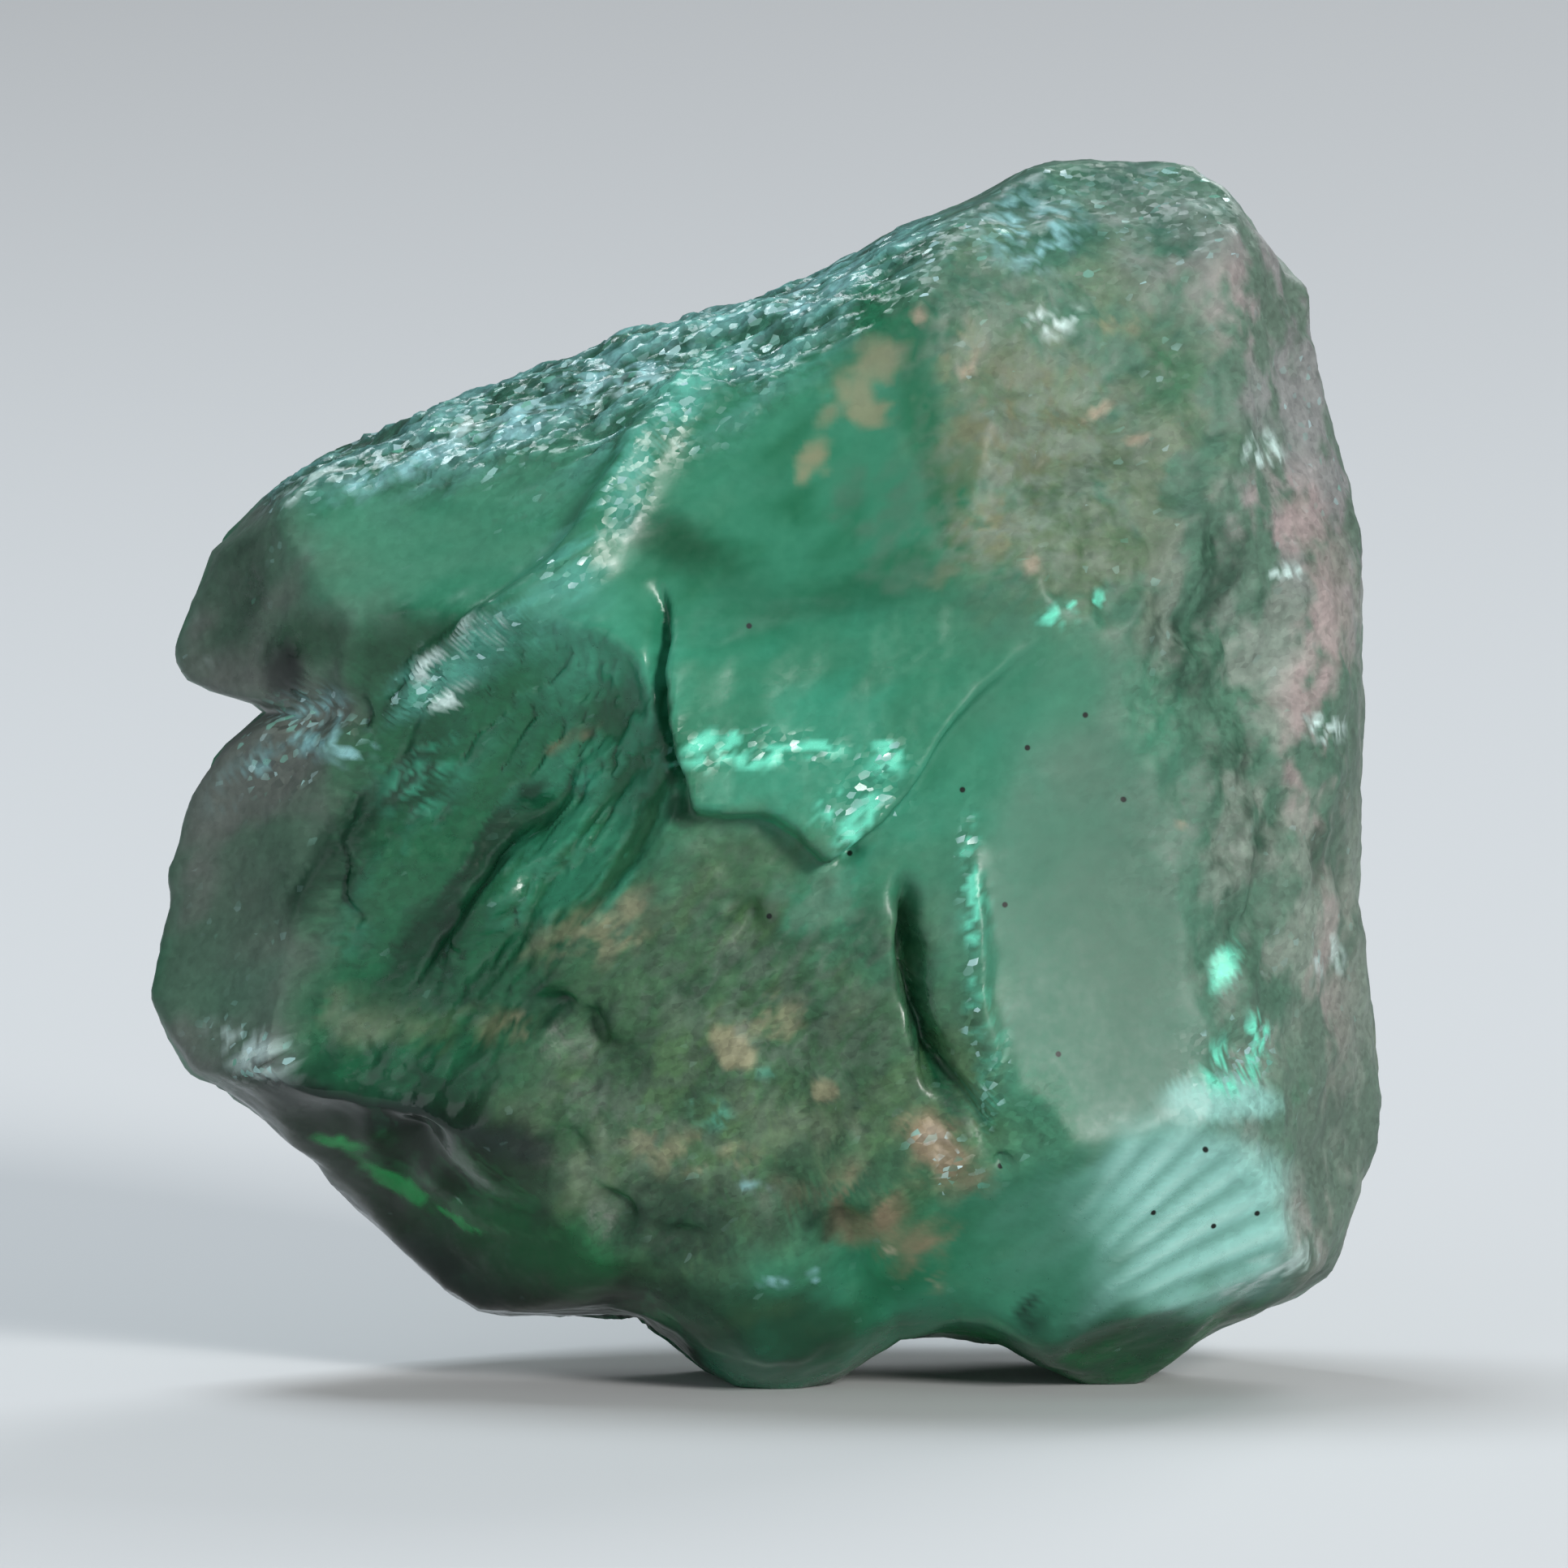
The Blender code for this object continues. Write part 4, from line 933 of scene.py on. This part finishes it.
def store(mesh, name, values):
    """Keeps one number, or three as a colour, for each point of the mesh, for the shader to read by name."""
    if values.ndim == 1:
        kept = mesh.attributes.new(name, "FLOAT", "POINT")
        kept.data.foreach_set("value", values.astype(np.float32))
        return
    four = np.concatenate([values, np.ones((len(values), 1))], axis=1).astype(np.float32)
    kept = mesh.attributes.new(name, "FLOAT_COLOR", "POINT")
    kept.data.foreach_set("color", four.ravel())


class Value:
    """An output of a shader node. Sums and products written with it add the Math nodes that work them out."""

    def __init__(self, tree, socket):
        self.tree = tree
        self.socket = socket

    def math(self, operation, first, second):
        return add_node(self.tree, "ShaderNodeMath", {"operation": operation}, {0: first, 1: second}).out(0)

    def __add__(self, other):
        return self.math("ADD", self, other)

    def __sub__(self, other):
        return self.math("SUBTRACT", self, other)

    def __rsub__(self, other):
        return self.math("SUBTRACT", other, self)

    def __mul__(self, other):
        return self.math("MULTIPLY", self, other)

    __radd__ = __add__
    __rmul__ = __mul__


class Made:
    """A node that was added, whose outputs are asked for by name or number."""

    def __init__(self, tree, node):
        self.tree = tree
        self.node = node

    def out(self, name):
        return Value(self.tree, self.node.outputs[name])


def add_node(tree, kind, settings=None, sockets=None):
    """Adds a node of a kind, sets its settings first, and then sets or links its sockets."""
    node = tree.nodes.new(kind)
    for name, setting in (settings or {}).items():
        setattr(node, name, setting)
    for name, value in (sockets or {}).items():
        if isinstance(value, Value):
            tree.links.new(value.socket, node.inputs[name])
        else:
            node.inputs[name].default_value = value
    return Made(tree, node)


def new_tree(name):
    """A material of this name with an empty node tree."""
    material = bpy.data.materials.get(name) or bpy.data.materials.new(name)
    material.use_nodes = True
    material.node_tree.nodes.clear()
    return material, material.node_tree


def mix_colour(tree, share, first, second, blend="MIX"):
    """Two colours mixed. The mix node takes colours on its sockets 6 and 7 and gives one on socket 2."""
    settings = {"data_type": "RGBA", "blend_type": blend}
    return add_node(tree, "ShaderNodeMix", settings, {0: share, 6: first, 7: second}).out(2)


def vector_math(tree, operation, sockets, output="Vector"):
    """One step of arithmetic on vectors."""
    return add_node(tree, "ShaderNodeVectorMath", {"operation": operation}, sockets).out(output)


def painted_value(tree, name, output="Fac"):
    """What was painted on the mesh under a name."""
    return add_node(tree, "ShaderNodeAttribute", {"attribute_name": name}).out(output)


def noise(tree, place, size_mm, detail):
    """Soft noise, from 0 to 1, whose lumps are about as wide as the size in millimetres."""
    sockets = {"Vector": place, "Scale": 1 / (size_mm * MM), "Detail": detail, "Roughness": NOISE_ROUGHNESS}
    return add_node(tree, "ShaderNodeTexNoise", None, sockets).out("Fac")


def slope(tree, value, low, high, start=0.0, end=1.0):
    """A value turned from the range low to high into the range start to end, smoothly and held at both."""
    settings = {"interpolation_type": "SMOOTHSTEP"}
    sockets = {"Value": value, "From Min": low, "From Max": high, "To Min": start, "To Max": end}
    return add_node(tree, "ShaderNodeMapRange", settings, sockets).out("Result")


def crystal_grains(tree, place):
    """Grains, drawn out and leaning, each with its own random colour."""
    lean = {"Vector": place, "Rotation": GRAIN_LEAN, "Scale": GRAIN_STRETCH}
    drawn_out = add_node(tree, "ShaderNodeMapping", {"vector_type": "TEXTURE"}, lean).out("Vector")
    sockets = {"Vector": drawn_out, "Scale": 1 / (GRAIN_SIZE * MM)}
    return add_node(tree, "ShaderNodeTexVoronoi", None, sockets).out("Color")


def speck_mask(tree):
    """1 on the black specks and 0 elsewhere, by the length of the painted offset from the nearest one."""
    gap = vector_math(tree, "LENGTH", {0: painted_value(tree, "speck", "Vector")}, "Value")
    return slope(tree, gap, SPECK_RADIUS * (1 - SPECK_EDGE), SPECK_RADIUS * (1 + SPECK_EDGE), 1.0, 0.0)


def grain_normal(tree, grains, tilt):
    """The way the surface faces, leant another way on each grain by its own random colour."""
    facing = add_node(tree, "ShaderNodeNewGeometry").out("Normal")
    random_way = vector_math(tree, "SUBTRACT", {0: grains, 1: (0.5, 0.5, 0.5)})
    leaning = vector_math(tree, "SCALE", {0: random_way, "Scale": tilt})
    return vector_math(tree, "NORMALIZE", {0: vector_math(tree, "ADD", {0: facing, 1: leaning})})


def emerald_material(look):
    """Green beryl: painted breaks and inclusions, grains with painted glints, specks, and clear green depth.
    """
    material, tree = new_tree("emerald")
    place = add_node(tree, "ShaderNodeTexCoord").out("Object")
    sparkle = painted_value(tree, "sparkle")
    coarse = painted_value(tree, "grain")
    grit = noise(tree, place, GRIT_SIZE, GRIT_DETAIL)
    grains = crystal_grains(tree, place)
    pick = add_node(tree, "ShaderNodeSeparateColor", None, {"Color": grains})
    shade = 1.0 + (grit - 0.5) * (coarse * COARSE_GRIT + SMOOTH_GRIT)
    shade = shade + (pick.out("Green") - 0.5) * coarse * GRAIN_CONTRAST
    grey = {"Red": shade, "Green": shade, "Blue": shade}
    shade_colour = add_node(tree, "ShaderNodeCombineColor", None, grey).out("Color")
    colour = mix_colour(tree, 1.0, painted_value(tree, "tint", "Color"), shade_colour, "MULTIPLY")
    # A grain whose chance passes 1 gets a painted glint: its colour is mixed towards a glint colour between
    # dull and pale
    glint = slope(tree, pick.out("Red") + sparkle * look.glint_share, 1.0, 1.0 + GLINT_RISE)
    glint_tone = mix_colour(tree, pick.out("Blue"), (*look.glint_dark, 1.0), (*look.glint_light, 1.0))
    glint_strength = glint * (pick.out("Green") * GLINT_SPREAD + WEAKEST_GLINT)
    colour = mix_colour(tree, glint_strength, colour, glint_tone)
    colour = mix_colour(tree, speck_mask(tree), colour, SPECK_BLACK)
    roughness = painted_value(tree, "rough") + (grit - 0.5) * GRIT_ROUGHNESS
    roughness = roughness - painted_value(tree, "flash") * FLASH_GLOSS - glint * GLINT_GLOSS
    faceted = grain_normal(tree, grains, sparkle * look.grain_tilt)
    bumpy = {
        "Strength": BUMP_STRENGTH, "Distance": BUMP_DEPTH * MM, "Height": grit * coarse, "Normal": faceted,
    }
    beryl = {
        "Base Color": colour, "Roughness": roughness,
        "Normal": add_node(tree, "ShaderNodeBump", None, bumpy).out("Normal"),
        "Transmission Weight": look.clearness, "IOR": look.refraction, "Specular IOR Level": look.gloss,
    }
    depth = {"Color": (*look.depth_colour, 1.0), "Density": look.depth_density}
    surface = add_node(tree, "ShaderNodeBsdfPrincipled", None, beryl).out("BSDF")
    volume = add_node(tree, "ShaderNodeVolumeAbsorption", None, depth).out("Volume")
    add_node(tree, "ShaderNodeOutputMaterial", None, {"Surface": surface, "Volume": volume})
    return material


def paper_material(name, colour):
    """A matt paper sweep with the faintest grain."""
    material, tree = new_tree(name)
    place = add_node(tree, "ShaderNodeTexCoord").out("Object")
    mottled = noise(tree, place, PAPER_GRAIN_SIZE, PAPER_GRAIN_DETAIL)
    grain = slope(tree, mottled, 0.0, 1.0, 0.0, PAPER_GRAIN_SHARE)
    paper = {"Base Color": mix_colour(tree, grain, (*colour, 1.0), PAPER_GREY), "Roughness": PAPER_ROUGHNESS}
    surface = add_node(tree, "ShaderNodeBsdfPrincipled", None, paper).out("BSDF")
    add_node(tree, "ShaderNodeOutputMaterial", None, {"Surface": surface})
    return material


def sweep_surface(width, front, back, height, bend):
    """A floor that bends up into a backdrop: a line along it, a quarter circle and a line up, made wide."""
    turn = np.linspace(0.0, math.pi / 2, BEND_POINTS)
    arc = np.stack([back - bend + bend * np.sin(turn), bend - bend * np.cos(turn)], axis=1)
    profile = np.concatenate([[(front, 0.0)], arc, [(back, height)]])
    across = np.linspace(-width / 2, width / 2, WIDTH_POINTS)
    grid = np.array([[(x, y, z) for x in across] for y, z in profile])
    index = np.arange(grid.shape[0] * grid.shape[1]).reshape(grid.shape[:2])
    quads = np.stack([index[:-1, :-1], index[:-1, 1:], index[1:, 1:], index[1:, :-1]], axis=-1).reshape(-1, 4)
    return grid.reshape(-1, 3), quads


def aim(thing, place, target):
    """Puts a light or camera at a place and turns its -Z to the target with +Y up."""
    out = np.array(place) - np.array(target)
    out = out / np.linalg.norm(out)
    right = np.cross([0.0, 0.0, 1.0], out)
    right = right / np.linalg.norm(right)
    turned = np.eye(4)
    turned[:3, 0] = right
    turned[:3, 1] = np.cross(out, right)
    turned[:3, 2] = out
    turned[:3, 3] = place
    thing.matrix_world = Matrix(turned.tolist())


def add_light(name, place, target, power, size, colour):
    """A square soft light that looks at the target."""
    lamp = bpy.data.lights.new(name, "AREA")
    lamp.energy = power
    lamp.size = size
    lamp.color = colour
    aim(new_object(name, lamp), place, target)


def soft_room(power):
    """Pale light from all sides, as from the walls of a room."""
    world = bpy.data.worlds.new("soft_room")
    world.use_nodes = True
    walls = world.node_tree.nodes["Background"]
    walls.inputs["Color"].default_value = ROOM_COLOUR
    walls.inputs["Strength"].default_value = ROOM_STRENGTH * power
    return world


def photo_camera(distance):
    """The camera at the photograph's angle, with the photograph's frame around the stone."""
    eye = bpy.data.cameras.new("photo_camera")
    eye.clip_start = NEAREST_SEEN
    eye.lens = eye.sensor_width * distance / (FRAME_WIDTH * MM)
    target = to_world(np.array([[*FRAME_MIDDLE, 0.0]]))[0]
    out = np.array([0.0, -math.cos(LOOK_DOWN), math.sin(LOOK_DOWN)])
    camera = new_object("photo_camera", eye)
    aim(camera, target + out * distance, target)
    return camera


class StoneLook(bpy.types.PropertyGroup):
    """The stone's mesh and the look of its beryl."""

    grid_cells: IntProperty(
        name="Grid cells", description="Cells along each of the six grids", default=128, min=16,
    )
    # Painted glints on the grains: the share that show one, and their dullest and palest colours
    glint_share: FloatProperty(
        name="Glint share", description="Share of grains that flash", subtype="FACTOR", default=0.28,
    )
    glint_dark: FloatVectorProperty(
        name="Dark glint", description="Colour of the dullest flash", subtype="COLOR",
        default=(0.12, 0.42, 0.30),
    )
    glint_light: FloatVectorProperty(
        name="Light glint", description="Colour of the palest flash", subtype="COLOR",
        default=(0.55, 0.80, 0.86),
    )
    grain_tilt: FloatProperty(
        name="Grain tilt", description="How far grains lean out of the surface", subtype="FACTOR",
        default=0.9,
    )
    clearness: FloatProperty(
        name="Clearness", description="Share of light that passes inside", subtype="FACTOR", default=0.35,
    )
    gloss: FloatProperty(name="Gloss", description="Strength of the shine", subtype="FACTOR", default=0.22)
    refraction: FloatProperty(name="Refraction", description="Index of refraction of beryl", default=1.58)
    depth_colour: FloatVectorProperty(
        name="Depth colour", description="Colour that deep beryl lets through", subtype="COLOR",
        default=(0.08, 0.70, 0.42),
    )
    depth_density: FloatProperty(
        name="Depth density", description="Absorption for each metre", default=160.0,
    )


class StudioLook(bpy.types.PropertyGroup):
    """The studio's floor, lights and camera."""

    paper_colour: FloatVectorProperty(
        name="Paper colour", description="Colour of the floor and backdrop", subtype="COLOR",
        default=(0.50, 0.51, 0.52),
    )
    eye_distance: FloatProperty(
        name="Eye distance", description="From the camera to the stone", default=0.45,
        subtype="DISTANCE", unit="LENGTH",
    )
    light_power: FloatProperty(
        name="Light power", description="Strength of all the lights, as a multiple", default=1.0,
    )


class EMERALD_OT_stone(bpy.types.Operator):
    """Builds the stone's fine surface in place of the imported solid"""

    bl_idname = "emerald.stone"
    bl_label = "Emerald stone"

    def execute(self, context):
        look = context.scene.emerald_stone
        quads, points, painted = emerald_surface(look.grid_cells)
        mesh = new_mesh(PIECE, points, quads)
        for name, values in painted.items():
            store(mesh, name, values)
        mesh.shade_smooth()
        mesh.materials.append(emerald_material(look))
        stone = new_object(PIECE, mesh)
        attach(stone, "root")
        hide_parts(NODE)
        return {"FINISHED"}


class EMERALD_OT_studio(bpy.types.Operator):
    """Builds the floor, the soft lights and the camera at the photograph's angle"""

    bl_idname = "emerald.studio"
    bl_label = "Studio"

    def execute(self, context):
        scene = context.scene
        look = scene.emerald_studio
        points, quads = sweep_surface(**SWEEP)
        mesh = new_mesh("floor", points, quads)
        mesh.materials.append(paper_material("paper", look.paper_colour))
        mesh.shade_smooth()
        new_object("floor", mesh)
        low, high = (np.array(corner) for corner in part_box(NODE))
        for name, (place, power, size, colour) in LIGHTS.items():
            add_light(name, place, (low + high) / 2, power * look.light_power, size, colour)
        scene.world = soft_room(look.light_power)
        scene.camera = photo_camera(look.eye_distance)
        scene.view_settings.view_transform = "Standard"
        return {"FINISHED"}


class EMERALD_PT_panel(bpy.types.Panel):
    """Lists the pieces and their settings"""

    bl_idname = "EMERALD_PT_panel"
    bl_label = "Rough emerald"
    bl_space_type = "VIEW_3D"
    bl_region_type = "UI"
    bl_category = "Emerald"

    def draw(self, context):
        for group in (context.scene.emerald_stone, context.scene.emerald_studio):
            for name in group.__annotations__:
                self.layout.prop(group, name)
        self.layout.operator(EMERALD_OT_stone.bl_idname)
        self.layout.operator(EMERALD_OT_studio.bl_idname)


CLASSES = (StoneLook, StudioLook, EMERALD_OT_stone, EMERALD_OT_studio, EMERALD_PT_panel)


def register():
    for kind in CLASSES:
        bpy.utils.register_class(kind)
    bpy.types.Scene.emerald_stone = PointerProperty(type=StoneLook)
    bpy.types.Scene.emerald_studio = PointerProperty(type=StudioLook)


def unregister():
    del bpy.types.Scene.emerald_studio
    del bpy.types.Scene.emerald_stone
    for kind in reversed(CLASSES):
        bpy.utils.unregister_class(kind)


def main():
    register()
    bpy.ops.emerald.studio()
    bpy.ops.emerald.stone()


if __name__ == "__main__":
    main()
